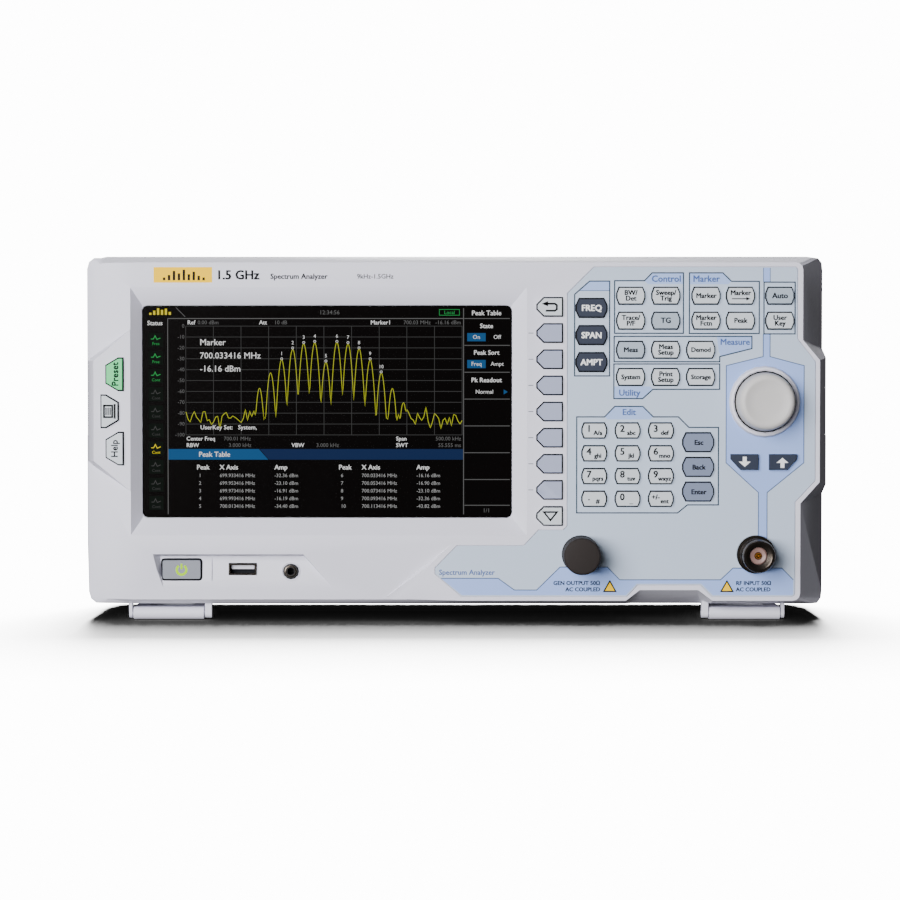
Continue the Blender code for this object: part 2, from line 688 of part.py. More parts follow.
def make_connectors(metal, cap_tone):
    sockets = [
        turned("n_connectors", connector_profile(), (x, CONNECTOR_HEIGHT))
        for x in (GENERATOR_X, INPUT_X)
    ]
    bar = block(
        "bar", (GENERATOR_X - 9, FRONT + 5.0, CONNECTOR_HEIGHT - 5),
        (INPUT_X + 9, FRONT + 7.2, CONNECTOR_HEIGHT + 5),
    )
    dress(unite(sockets[0], sockets[1], bar), metal)
    front = FRONT - CONNECTOR_LENGTH - 2.0
    cap = turned("generator_cap", [
        (0.0, front), (8.3, front), (9.0, front + 0.7), (9.0, FRONT - 5), (8.25, FRONT - 5),
        (8.25, front + 1.6), (0.0, front + 1.6),
    ], (GENERATOR_X, CONNECTOR_HEIGHT))
    dress(cap, cap_tone, (GENERATOR_X, front, CONNECTOR_HEIGHT))


def make_knob(tone):
    """The tuning knob with the encoder shaft that turns with it."""
    top = FRONT - 14.0
    knob = turned("tuning_knob", [
        (0.0, top + 0.8), (7.0, top + 0.5), (10.4, top), (11.6, top + 0.25), (13.2, top + 1.5),
        (14.0, top + 3.6),
        (KNOB_RADIUS, FRONT - 0.8), (11.0, FRONT - 0.8), (11.0, top + 4.0), (4.2, top + 4.0),
        (4.2, FRONT - 4.4), (2.0, FRONT - 4.4), (2.0, FRONT + 6.0), (0.0, FRONT + 6.0),
    ], KNOB_CENTRE, sides=24)
    dress(knob, tone, (KNOB_CENTRE[0], FRONT, KNOB_CENTRE[1]))


def make_encoder(metal):
    x, z = KNOB_CENTRE
    body = block("rotary_encoder", (x - 6.5, FRONT + 3.3, z - 6.5), (x + 6.5, FRONT + 8.0, z + 6.5))
    unite(body, rod("bush", 3.5, FRONT - 3.8, FRONT + 4, KNOB_CENTRE, sides=16))
    cut(body, rod("bore", 2.5, FRONT - 5, FRONT + 6.6, KNOB_CENTRE, sides=16))
    dress(body, metal)


def make_front_sockets(metal, plastic):
    near = FRONT + 4.6
    usb = block(
        "usb_host_socket", (USB_X - 6.55, near, USB_Z - 2.65),
        (USB_X + 6.55, FRONT + 18, USB_Z + 2.65),
    )
    mouth = (USB_X - 6.1, near - 1, USB_Z - 2.25), (USB_X + 6.1, FRONT + 16, USB_Z + 2.25)
    dress(cut(usb, block("mouth", *mouth)), metal)
    jack = turned("headphone_jack", [
        (0.0, FRONT + 14), (1.85, FRONT + 14), (1.85, near), (3.4, near), (3.9, near + 0.3),
        (2.9, FRONT + 5.2),
        (2.9, FRONT + 16), (0.0, FRONT + 16),
    ], (JACK_X, JACK_Z), sides=12)
    dress(jack, plastic)


def make_keypad_boards(tone):
    near = FRONT + BOARD_DEPTH
    far = near + BOARD_THICKNESS
    field = block("keypad_boards", (37.6, near, 46), (162.4, far, 169.4))
    wing = block("wing", (-173.6, near, 81.6), (-161.8, far, 123.4))
    power = block("power", (-152, FRONT + 17.4, 14), (-118, FRONT + 19, 36))
    ribbon_near, ribbon_far = FRONT + 16.0, FRONT + 16.8
    unite(field, block("ribbon", (-169.5, ribbon_near, 100), (45, ribbon_far, 108)))
    unite(field, block("ribbon_end", (43.6, near + 1, 100), (45, ribbon_far, 108)))
    unite(field, block("ribbon_end", (-169.5, near + 1, 100), (-168.5, ribbon_far, 108)))
    unite(field, block("ribbon_tail", (-126, ribbon_near, 33), (-121, FRONT + 17.8, 101)))
    dress(unite(field, wing, power), tone)


# ---------------------------------------------------------------- inside and behind

REAR_BAY = (-165.0, 48.5, 13.0, 60.0, REAR, 50.0)  # low corner, then high corner
HANDLE_RECESS = (-82.0, 28.0, 164.0, 82.0, 58.5, HEIGHT)
HANDLE_POST_X = 70.0
SOCKET_Z = 31.0
BNC_X = (48.0, 26.0, 4.0)
LAN_HOLE = (-33.0, -16.4, 22.6, 37.4)
USB_DEVICE_HOLE = (-56.6, -43.8, 22.6, 34.6)
INLET_HOLE = (-146.0, -117.0, 20.6, 41.4)
FILTER = (-176.6, 55.8, 77.0, -86.0, 58.8, 143.0)
SCREWS = ((-164.0, 160.0), (164.0, 160.0), (164.0, 24.0), (72.0, 24.0))


def make_chassis(tone):
    """A folded steel tray: floor, two side walls and a front flange behind the bezel."""
    section = [
        (-168, 9.9), (168, 9.9), (168, 120), (166.8, 120), (166.8, 11.1), (-166.8, 11.1),
        (-166.8, 74), (-168, 74),
    ]
    tray = prism("inner_chassis", section, -12.0, 37.5)
    for x in (-90, 0, 90):
        cut(tray, block("cable_hole", (x - 12, -4, 9), (x + 12, 20, 12)))
    dress(tray, tone)


def make_boards(board, shield, supply):
    plate = block("main_board", (-66, -10, 18.0), (150, 45.6, 19.6))
    for x in (-62, 42, 146):
        for y in (-6, 40):
            unite(plate, rod("standoff", 2.5, 11.4, 18.4, (x, y), sides=8, axis="Z"))
    for x, y, size, height in ((-30, 4, 24, 2.2), (8, 6, 16, 1.6), (30, 24, 12, 1.4)):
        unite(plate, block("chip", (x, y, 19.3), (x + size, y + size, 19.6 + height)))
    dress(plate, board)
    can = block("rf_shield", (62, -7, 19.9), (146, 34, 44))
    for i in range(4):
        for j in range(2):
            x, y = 70 + 20 * i, 0 + 16 * j
            cut(can, block("tuning_hole", (x, y, 43), (x + 10, y + 8, 45)))
    dress(can, shield)
    base = block("power_supply", (-158, -8, 14.0), (-76, 36, 15.6))
    unite(base, block("transformer", (-120, 2, 15.2), (-92, 28, 42)))
    unite(base, block("heat_sink", (-156, -6, 15.2), (-152, 34, 46)))
    for y in (6, 26):
        unite(base, rod("capacitor", 8.0, 15.2, 44, (-138, y), sides=16, axis="Z"))
    for x in (-150, -84):
        unite(base, rod("standoff", 2.5, 11.4, 14.4, (x, 14), sides=8, axis="Z"))
    dress(base, supply)


def make_fan(plastic):
    x, z = FAN_CENTRE
    half = FAN_SIZE / 2
    near, far = FAN_FRONT, FAN_FRONT + FAN_DEPTH
    frame = block("fan_frame", (x - half, near, z - half), (x + half, far, z + half))
    cut(frame, rod("duct", 27.5, near - 1, far + 1, FAN_CENTRE, sides=24))
    unite(frame, rod("motor_base", 12.0, near, near + 2.0, FAN_CENTRE, sides=16))
    for angle in range(45, 360, 90):
        spoke = block("spoke", (10, near, -1.5), (29, near + 1.6, 1.5))
        spoke.data.transform(Matrix.Rotation(math.radians(angle), 4, "Y"))
        spoke.data.transform(Matrix.Translation((x * MM, 0, z * MM)))
        unite(frame, spoke)
    cut(frame, rod("bearing", 1.8, near - 1, near + 3, FAN_CENTRE, sides=12))
    dress(frame, plastic)
    rotor = turned("fan_rotor", [
        (0.0, near + 0.6), (1.5, near + 0.6), (1.5, near + 2.6), (13.0, near + 2.6), (13.0, far - 0.8),
        (12.0, far - 0.3), (0.0, far - 0.3),
    ], FAN_CENTRE, sides=16)
    for i in range(7):
        blade = block("blade", (11.5, near + 7.4, -7.0), (26.4, near + 8.8, 7.0))
        blade.data.transform(Matrix.Translation((0, -(near + 8) * MM, 0)))
        blade.data.transform(Matrix.Rotation(math.radians(32), 4, "X"))
        blade.data.transform(Matrix.Translation((0, (near + 8) * MM, 0)))
        blade.data.transform(Matrix.Rotation(math.radians(i * 360 / 7), 4, "Y"))
        blade.data.transform(Matrix.Translation((x * MM, 0, z * MM)))
        unite(rotor, blade)
    dress(rotor, plastic, (x, near, z))


def make_filter(tone):
    """The dust filter: a slim frame with a lattice that holds the foam, drawn out through the side wall."""
    left, near, low, right, far, high = FILTER
    holes = []
    for i in range(5):
        for j in range(5):
            x, z = -150.4 + 12.4 * i, low + 4.0 + 12.0 * j
            holes.append([(x, z), (x + 10.4, z), (x + 10.4, z + 10.0), (x, z + 10.0)])
    dress(prism("dust_filter", rectangle(left, low, right, high), near, far, holes), tone, (left, near, low))


def make_rear_sockets(metal, plastic):
    near, face = REAR_BAY[1] - WALL - 5, REAR_BAY[1]
    barrels = []
    for x in BNC_X:
        barrels.append(turned("bnc_sockets", [
            (0.0, near), (4.6, near), (4.6, face + 0.3), (6.6, face + 0.3), (6.6, face + 2.3),
            (4.8, face + 2.3),
            (4.8, face + 12.0), (3.7, face + 12.0), (3.7, face + 4.0), (0.9, face + 4.0), (0.9, face + 10.0),
            (0.0, face + 10.0),
        ], (x, SOCKET_Z), sides=12))
    plate = block("plate", (BNC_X[-1] - 6, near, SOCKET_Z - 5), (BNC_X[0] + 6, near + 2, SOCKET_Z + 5))
    dress(unite(barrels[0], *barrels[1:], plate), metal)
    shells = []
    for hole, width, height in ((LAN_HOLE, 12.0, 9.0), (USB_DEVICE_HOLE, 8.6, 7.8)):
        left, right, low, high = hole
        x, z = (left + right) / 2, (low + high) / 2
        shell = block(
            "data_sockets", (left + GAP, near - 6, low + GAP), (right - GAP, face + 1.0, high - GAP),
        )
        mouth = block(
            "mouth", (x - width / 2, near - 2, z - height / 2),
            (x + width / 2, face + 2, z + height / 2),
        )
        shells.append(cut(shell, mouth))
    board = block("board", (USB_DEVICE_HOLE[0], near - 7, 23.4), (LAN_HOLE[1], near - 5, 34))
    dress(unite(shells[0], shells[1], board), metal)
    left, right, low, high = INLET_HOLE
    x, z = (left + right) / 2, (low + high) / 2
    inlet = block("mains_inlet", (left + GAP, near - 6, low + GAP), (right - GAP, face + 1, high - GAP))
    unite(inlet, block("flange", (left - 2.5, face + 0.3, low - 2.5), (right + 2.5, face + 2.5, high + 2.5)))
    mouth = [
        (x - 12, z - 7.5), (x + 12, z - 7.5), (x + 12, z + 4), (x + 8.5, z + 7.5),
        (x - 8.5, z + 7.5), (x - 12, z + 4),
    ]
    cut(inlet, prism("mouth", mouth, face - 12, face + 4))
    for blade_x, blade_z in ((x - 7, z - 2), (x, z + 2), (x + 7, z - 2)):
        unite(
            inlet,
            block("blade", (blade_x - 1, face - 12.5, blade_z - 2), (blade_x + 1, face - 4, blade_z + 2)),
        )
    dress(inlet, plastic)


def make_handle(tone):
    """The carry handle: a bar across the top recess on two posts that slide up out of the case."""
    bar = block("carry_handle", (-78, 44, 168.4), (78, 56, 178.2))
    for x in (-HANDLE_POST_X, HANDLE_POST_X):
        unite(bar, block("post", (x - 5, 46, 128), (x + 5, 54, 169)))
        unite(bar, block("stop", (x - 7, 44.4, 126), (x + 7, 55.6, 130)))
    dress(bar, tone, (0, 50, 164))


def make_legs(tone):
    for name, x in (("left_leg", -LEG_X), ("right_leg", LEG_X)):
        half = LEG_WIDTH / 2
        y, r = LEG_PIVOT_Y, LEG_RADIUS
        leg = rod(name, r, x - half, x + half, (y, r), sides=16, axis="X")
        unite(leg, block("plate", (x - half, y, 0.0), (x + half, y + LEG_LENGTH, 2 * r)))
        cut(leg, block("web_gap", (x - half + 7, y + 9, -1), (x + half - 7, y + LEG_LENGTH - 12, 2 * r + 1)))
        unite(leg, rod("pin", 1.2, x - half - 1.9, x + half + 1.9, (y, r), sides=12, axis="X"))
        dress(leg, tone, (x, y, r))


def make_rear_feet(rubber):
    for name, x in (("rear_foot_left", -LEG_X), ("rear_foot_right", LEG_X)):
        dress(block(name, (x - 12, 34, 0), (x + 12, 50, FOOT_HEIGHT - GAP)), rubber)


def main():
    bezel = new_material("bezel_plastic", (0.68, 0.67, 0.71), 0.45)
    case = new_material("case_plastic", (0.42, 0.42, 0.45), 0.5)
    film = new_material("printed_film", (0.60, 0.65, 0.71), 0.4)
    tones = {
        "pale_key": new_material("pale_key", (0.72, 0.73, 0.74), 0.5),
        "grey_key": new_material("grey_key", (0.40, 0.42, 0.50), 0.5),
        "dark_key": new_material("dark_key", (0.12, 0.14, 0.20), 0.5),
        "green_key": new_material("green_key", (0.22, 0.62, 0.36), 0.5),
    }
    glass = new_material("display_glass", (0.01, 0.01, 0.012), 0.1)
    steel = new_material("zinc_steel", (0.6, 0.6, 0.62), 0.4, 1.0)
    nickel = new_material("nickel", (0.55, 0.53, 0.50), 0.25, 1.0)
    board = new_material("circuit_board", (0.03, 0.20, 0.08), 0.5)
    black = new_material("black_plastic", (0.02, 0.02, 0.022), 0.45)
    make_bezel(bezel)
    make_overlay(film)
    make_display(glass, steel)
    make_keys(tones)
    make_power_button(tones["grey_key"])
    make_knob(bezel)
    make_encoder(nickel)
    make_connectors(nickel, black)
    make_front_sockets(nickel, black)
    make_keypad_boards(board)
    make_rear_housing(case)
    make_chassis(steel)
    make_boards(board, steel, board)
    make_fan(black)
    make_filter(black)
    make_rear_sockets(nickel, black)
    make_handle(case)
    make_legs(bezel)
    make_rear_feet(new_material("rubber", (0.03, 0.03, 0.03), 0.8))


clear_scene()
PARTS = new_collection("spectrum_analyzer")
ANALYZER = bpy.data.objects.new("analyzer_origin", None)
PARTS.objects.link(ANALYZER)
main()
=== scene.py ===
import json
import math
import random

import bpy
from mathutils import Matrix, Vector

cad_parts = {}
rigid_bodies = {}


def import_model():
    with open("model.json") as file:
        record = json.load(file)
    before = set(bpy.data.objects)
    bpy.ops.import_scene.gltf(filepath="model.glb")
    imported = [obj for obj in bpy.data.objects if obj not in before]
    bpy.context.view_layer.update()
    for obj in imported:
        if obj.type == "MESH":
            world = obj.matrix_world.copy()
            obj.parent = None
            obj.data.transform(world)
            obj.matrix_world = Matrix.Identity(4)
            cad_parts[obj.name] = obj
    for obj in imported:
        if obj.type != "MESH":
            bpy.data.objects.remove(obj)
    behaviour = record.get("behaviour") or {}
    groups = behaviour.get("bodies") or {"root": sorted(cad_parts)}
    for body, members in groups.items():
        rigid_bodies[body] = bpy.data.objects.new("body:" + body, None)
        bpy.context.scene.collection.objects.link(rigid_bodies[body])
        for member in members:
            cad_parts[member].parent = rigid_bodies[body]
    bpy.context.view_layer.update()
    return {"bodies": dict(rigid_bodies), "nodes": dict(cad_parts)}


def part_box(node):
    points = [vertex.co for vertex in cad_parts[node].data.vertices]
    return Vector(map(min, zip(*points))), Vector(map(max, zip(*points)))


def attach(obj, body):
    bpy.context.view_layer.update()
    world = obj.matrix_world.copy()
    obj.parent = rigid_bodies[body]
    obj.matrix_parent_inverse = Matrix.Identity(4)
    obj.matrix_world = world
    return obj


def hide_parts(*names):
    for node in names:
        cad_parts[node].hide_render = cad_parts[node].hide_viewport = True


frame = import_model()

mm = 0.001
front = -45.0  # mm, the flat of the bezel
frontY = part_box("front_overlay")[0].y  # the film's face, which every print lies on
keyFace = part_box("key_auto")[0].y
caseBody = "analyzer"
weld = 0.00001  # m, vertices nearer than this are one
lifts = {"gapShade": 0.02, "field": 0.03, "legend": 0.04, "line": 0.06}  # mm in front of what a print lies on
bezelFace = (front - lifts["legend"]) * mm  # prints on the flat of the bezel lie just in front of it
tray = {"depth": 4.8, "slope": 0.1, "low": 16.0}  # mm: its floor at the low edge, and how fast it goes back


# helpers

def linear(code):
    # sRGB hex to the linear values that shaders take
    parts = [int(code[i:i + 2], 16) / 255 for i in (1, 3, 5)]
    return tuple(c / 12.92 if c <= 0.04045 else ((c + 0.055) / 1.055) ** 2.4 for c in parts) + (1.0,)


def addNode(material, kind, settings=None, links=None):
    # settings are sockets by name or number, or else the node's own options
    node = material.node_tree.nodes.new(kind)
    for key, value in (settings or {}).items():
        if isinstance(key, int) or key in node.inputs:
            node.inputs[key].default_value = value
        else:
            setattr(node, key, value)
    for key, source in (links or {}).items():
        material.node_tree.links.new(source, node.inputs[key])
    return node


def deselectAll():
    bpy.ops.object.select_all(action="DESELECT")


def activate(piece):
    deselectAll()
    piece.select_set(True)
    bpy.context.view_layer.objects.active = piece
    return piece


def paint(piece, material):
    piece.data.materials.clear()
    piece.data.materials.append(material)
    return piece


def settle(piece):
    # puts the place of a piece into its mesh
    piece.data.transform(piece.matrix_world)
    piece.matrix_world = Matrix.Identity(4)
    return piece


def smooth(piece, angle=32):
    activate(piece)
    bpy.ops.object.shade_smooth_by_angle(angle=math.radians(angle))
    return piece


def keep(piece, body, slot, *nodes):
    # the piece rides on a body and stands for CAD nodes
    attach(piece, body)
    if nodes:
        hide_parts(*nodes)
    return piece


def applyAll(piece):
    activate(piece)
    for modifier in list(piece.modifiers):
        bpy.ops.object.modifier_apply(modifier=modifier.name)
    return piece


def copyNode(node, name):
    # a CAD node's own mesh, welded, with its flat areas as single faces
    mesh = frame["nodes"][node].data.copy()
    mesh.name = name
    piece = bpy.data.objects.new(name, mesh)
    bpy.context.scene.collection.objects.link(piece)
    activate(piece)
    bpy.ops.object.mode_set(mode="EDIT")
    bpy.ops.mesh.select_all(action="SELECT")
    bpy.ops.mesh.remove_doubles(threshold=weld)
    bpy.ops.mesh.dissolve_limited(angle_limit=math.radians(0.6))
    bpy.ops.object.mode_set(mode="OBJECT")
    return piece


def roundEdges(piece, width, segments=2, angle=35):
    bevel = piece.modifiers.new("roundEdges", "BEVEL")
    bevel.width = width * mm
    bevel.segments = segments
    bevel.limit_method = "ANGLE"
    bevel.angle_limit = math.radians(angle)
    applyAll(piece)
    smooth(piece)
    flat = piece.modifiers.new("flatFaces", "WEIGHTED_NORMAL")  # keeps large faces flat beside round edges
    flat.keep_sharp = True
    applyAll(piece)
    return piece


def turnPiece(name, profile, centre, steps=48):
    # a profile of (radius, y) in mm: one point extruded along it, then spun about an axis along Y
    deselectAll()
    bpy.ops.mesh.primitive_plane_add(size=0.001)
    piece = bpy.context.object
    piece.name = name
    bpy.ops.object.mode_set(mode="EDIT")
    bpy.ops.mesh.select_mode(type="VERT")
    bpy.ops.mesh.merge(type="CENTER")
    bpy.ops.transform.translate(value=(profile[0][0] * mm, profile[0][1] * mm, 0.0))
    for (radius, y), (nextRadius, nextY) in zip(profile, profile[1:]):
        step = ((nextRadius - radius) * mm, (nextY - y) * mm, 0.0)
        bpy.ops.mesh.extrude_region_move(TRANSFORM_OT_translate={"value": step})
    bpy.ops.mesh.select_all(action="SELECT")
    bpy.ops.mesh.spin(steps=steps, angle=math.tau, center=(0, 0, 0), axis=(0, 1, 0))
    bpy.ops.mesh.select_all(action="SELECT")
    bpy.ops.mesh.remove_doubles(threshold=weld)
    bpy.ops.mesh.normals_make_consistent(inside=False)
    bpy.ops.object.mode_set(mode="OBJECT")
    piece.data.transform(Matrix.Translation((centre[0] * mm, 0.0, centre[1] * mm)))
    return smooth(piece)


facing = Matrix.Rotation(math.pi / 2, 4, "X")  # a drawing in X and Y stands up and faces -Y


def flatShape(name, outlines, y):
    # a filled flat drawing in X and Z, in mm; a second outline inside the first is a hole
    curve = bpy.data.curves.new(name, "CURVE")
    curve.dimensions = "2D"
    curve.fill_mode = "BOTH"
    for outline in outlines:
        spline = curve.splines.new("POLY")
        spline.points.add(len(outline) - 1)
        for point, (x, z) in zip(spline.points, outline):
            point.co = (x * mm, z * mm, 0.0, 1.0)
        spline.use_cyclic_u = True
    piece = bpy.data.objects.new(name, curve)
    bpy.context.scene.collection.objects.link(piece)
    activate(piece)
    bpy.ops.object.convert(target="MESH")
    piece.data.transform(Matrix.Translation((0.0, y, 0.0)) @ facing)
    return piece


def sideways(points, distance, closed):
    # a line moved to its left by a distance, with mitred corners
    made = []
    count = len(points)
    for i, here in enumerate(points):
        here = Vector(here)
        before = Vector(points[i - 1]) if closed or i > 0 else None
        after = Vector(points[(i + 1) % count]) if closed or i < count - 1 else None
        into = (here - before).normalized() if before is not None else (after - here).normalized()
        out = (after - here).normalized() if after is not None else into
        first, second = Vector((-into.y, into.x)), Vector((-out.y, out.x))
        made.append(tuple(here + (first + second) * (distance / max(0.3, 1 + first.dot(second)))))
    return made


def ribbon(name, points, width, y, closed=True):
    # a printed line of even width
    left = sideways(points, width / 2, closed)
    right = sideways(points, -width / 2, closed)
    return flatShape(name, [left, right] if closed else [left + right[::-1]], y)


def gasket(name, outline, inside, outside, y):
    # a flat ring that follows an outline, from one distance outside it to another
    area = sum(a[0] * b[1] - b[0] * a[1] for a, b in zip(outline, outline[1:] + outline[:1]))
    away = -1 if area > 0 else 1
    rims = [sideways(outline, away * distance, True) for distance in (outside, inside)]
    return flatShape(name, rims, y)


def isFront(face, level):
    # a flat face that faces -Y at one depth
    return face.normal.y < -0.99 and abs(face.center.y - level) < 0.05 * mm


def faceOutlines(piece, level):
    # the closed outlines, in mm, of a piece's front faces
    uses = {}
    for face in piece.data.polygons:
        if isFront(face, level):
            for key in face.edge_keys:
                uses[key] = uses.get(key, 0) + 1
    ways = {}
    for (a, b), count in uses.items():
        if count == 1:
            ways.setdefault(a, []).append(b)
            ways.setdefault(b, []).append(a)
    outlines = []
    while ways:
        before = min(ways)
        here = ways.pop(before)[0]
        loop = [before]
        while here != loop[0]:
            loop.append(here)
            one, other = ways.pop(here)
            before, here = here, other if one == before else one
        outlines.append([(piece.data.vertices[i].co.x / mm, piece.data.vertices[i].co.z / mm) for i in loop])
    return outlines


def lean(piece, slope, z):
    # tips a flat drawing back as it rises, about a height in mm
    shear = Matrix.Identity(4)
    shear[1][2] = slope
    shear[1][3] = -slope * z * mm
    piece.data.transform(shear)
    return piece


def boxOutline(left, low, right, high):
    return [(left, low), (right, low), (right, high), (left, high)]


def circleOutline(x, z, radius, count=32):
    turns = [2 * math.pi * i / count for i in range(count)]
    return [(x + radius * math.cos(a), z + radius * math.sin(a)) for a in turns]


def lettering(name, text, x, z, size, y, align="CENTER", turn=0, weight=0.0, squeeze=1.0, strikes=4):
    # letters as a flat mesh; heavy ones are struck several times, each a little to the side
    bpy.ops.object.text_add()
    piece = bpy.context.object
    piece.name = name
    piece.data.body = text
    piece.data.size = size * mm
    piece.data.align_x = align
    piece.data.align_y = "CENTER"
    piece.data.space_line = 0.82
    piece.data.resolution_u = 2
    bpy.ops.object.convert(target="MESH")
    place = Matrix.Translation((x * mm, y, z * mm)) @ facing @ Matrix.Rotation(math.radians(turn), 4, "Z")
    piece.data.transform(place @ Matrix.Diagonal((squeeze, 1.0, 1.0, 1.0)))
    piece.matrix_world = Matrix.Identity(4)
    if not weight:
        return piece
    offsets = ((-1, -0.6), (1, 0.6), (-1, 0.6), (1, -0.6))[:strikes]
    copies = []
    for i, (across, up) in enumerate(offsets):
        copy = bpy.data.objects.new(name, piece.data.copy())
        bpy.context.scene.collection.objects.link(copy)
        copy.data.transform(Matrix.Translation((across * weight * mm, -i * 0.004 * mm, up * weight * mm)))
        copies.append(copy)
    bpy.data.objects.remove(piece)
    deselectAll()
    for copy in copies:
        copy.select_set(True)
    bpy.context.view_layer.objects.active = copies[0]
    bpy.ops.object.join()
    return copies[0]


def joined(name, pieces, material, body, slot):
    # several flat drawings of one ink as one piece
    deselectAll()
    for piece in pieces:
        piece.select_set(True)
    bpy.context.view_layer.objects.active = pieces[0]
    if len(pieces) > 1:
        bpy.ops.object.join()
    pieces[0].name = name
    paint(pieces[0], material)
    return keep(pieces[0], body, slot)


# materials

def surface(name, look):
    # one finish: colour with slow mottling, fine grain in bump and roughness, all from sizes in mm
    material = bpy.data.materials.new(name)
    material.use_nodes = True
    shader = material.node_tree.nodes["Principled BSDF"]
    shader.inputs["Metallic"].default_value = look.get("metallic", 0.0)
    shader.inputs["Specular IOR Level"].default_value = look.get("specular", 0.5)
    links = material.node_tree.links
    place = addNode(material, "ShaderNodeTexCoord").outputs["Object"]
    cloud = addNode(material, "ShaderNodeTexNoise", {"Scale": 1000 / look.get("cloud", 70), "Detail": 2.0},
                    {"Vector": place})
    colours = addNode(material, "ShaderNodeMix", {"data_type": "RGBA"}, {0: cloud.outputs["Fac"]})
    colours.inputs[6].default_value = linear(look["colour"])
    colours.inputs[7].default_value = linear(look.get("shade", look["colour"]))
    links.new(colours.outputs[2], shader.inputs["Base Color"])
    grain = addNode(material, "ShaderNodeTexNoise", {"Scale": 1000 / look.get("grain", 0.6), "Detail": 3.0},
                    {"Vector": place})
    spread = look.get("spread", 0.06)
    rough = addNode(material, "ShaderNodeMapRange", {
        "To Min": look["roughness"] - spread, "To Max": look["roughness"] + spread,
    }, {"Value": grain.outputs["Fac"]})
    links.new(rough.outputs["Result"], shader.inputs["Roughness"])
    height = grain.outputs["Fac"]
    if look.get("brushed"):
        stretch = addNode(material, "ShaderNodeMapping", {"Scale": look["brushed"]}, {"Vector": place})
        lines = addNode(material, "ShaderNodeTexNoise", {"Scale": 1000 / 0.4, "Detail": 2.0},
                        {"Vector": stretch.outputs["Vector"]})
        height = lines.outputs["Fac"]
    bump = addNode(material, "ShaderNodeBump", {
        "Strength": look.get("bump", 0.1), "Distance": look.get("depth", 0.05) * mm,
    }, {"Height": height})
    links.new(bump.outputs["Normal"], shader.inputs["Normal"])
    return material


def glow(name, code, strength):
    # the lit dots of a liquid crystal panel under its cover
    material = bpy.data.materials.new(name)
    material.use_nodes = True
    shader = material.node_tree.nodes["Principled BSDF"]
    shader.inputs["Base Color"].default_value = linear("#050505")
    shader.inputs["Roughness"].default_value = 0.6
    shader.inputs["Specular IOR Level"].default_value = 0.04
    shader.inputs["Emission Color"].default_value = linear(code)
    shader.inputs["Emission Strength"].default_value = strength
    return material


def moulded(colour, shade, roughness, grain, bump, depth, **more):
    return dict(colour=colour, shade=shade, roughness=roughness, grain=grain, bump=bump, depth=depth, **more)


def lacquered(colour, shade, roughness=0.5):
    # silicone rubber keys with a hard lacquer: matt, even colour
    return moulded(colour, shade, roughness, 0.3, 0.1, 0.02)


def printed(colour, shade, specular=0.15):
    # screen-printing ink: lies matt on the film
    return dict(colour=colour, shade=shade, roughness=0.6, specular=specular)


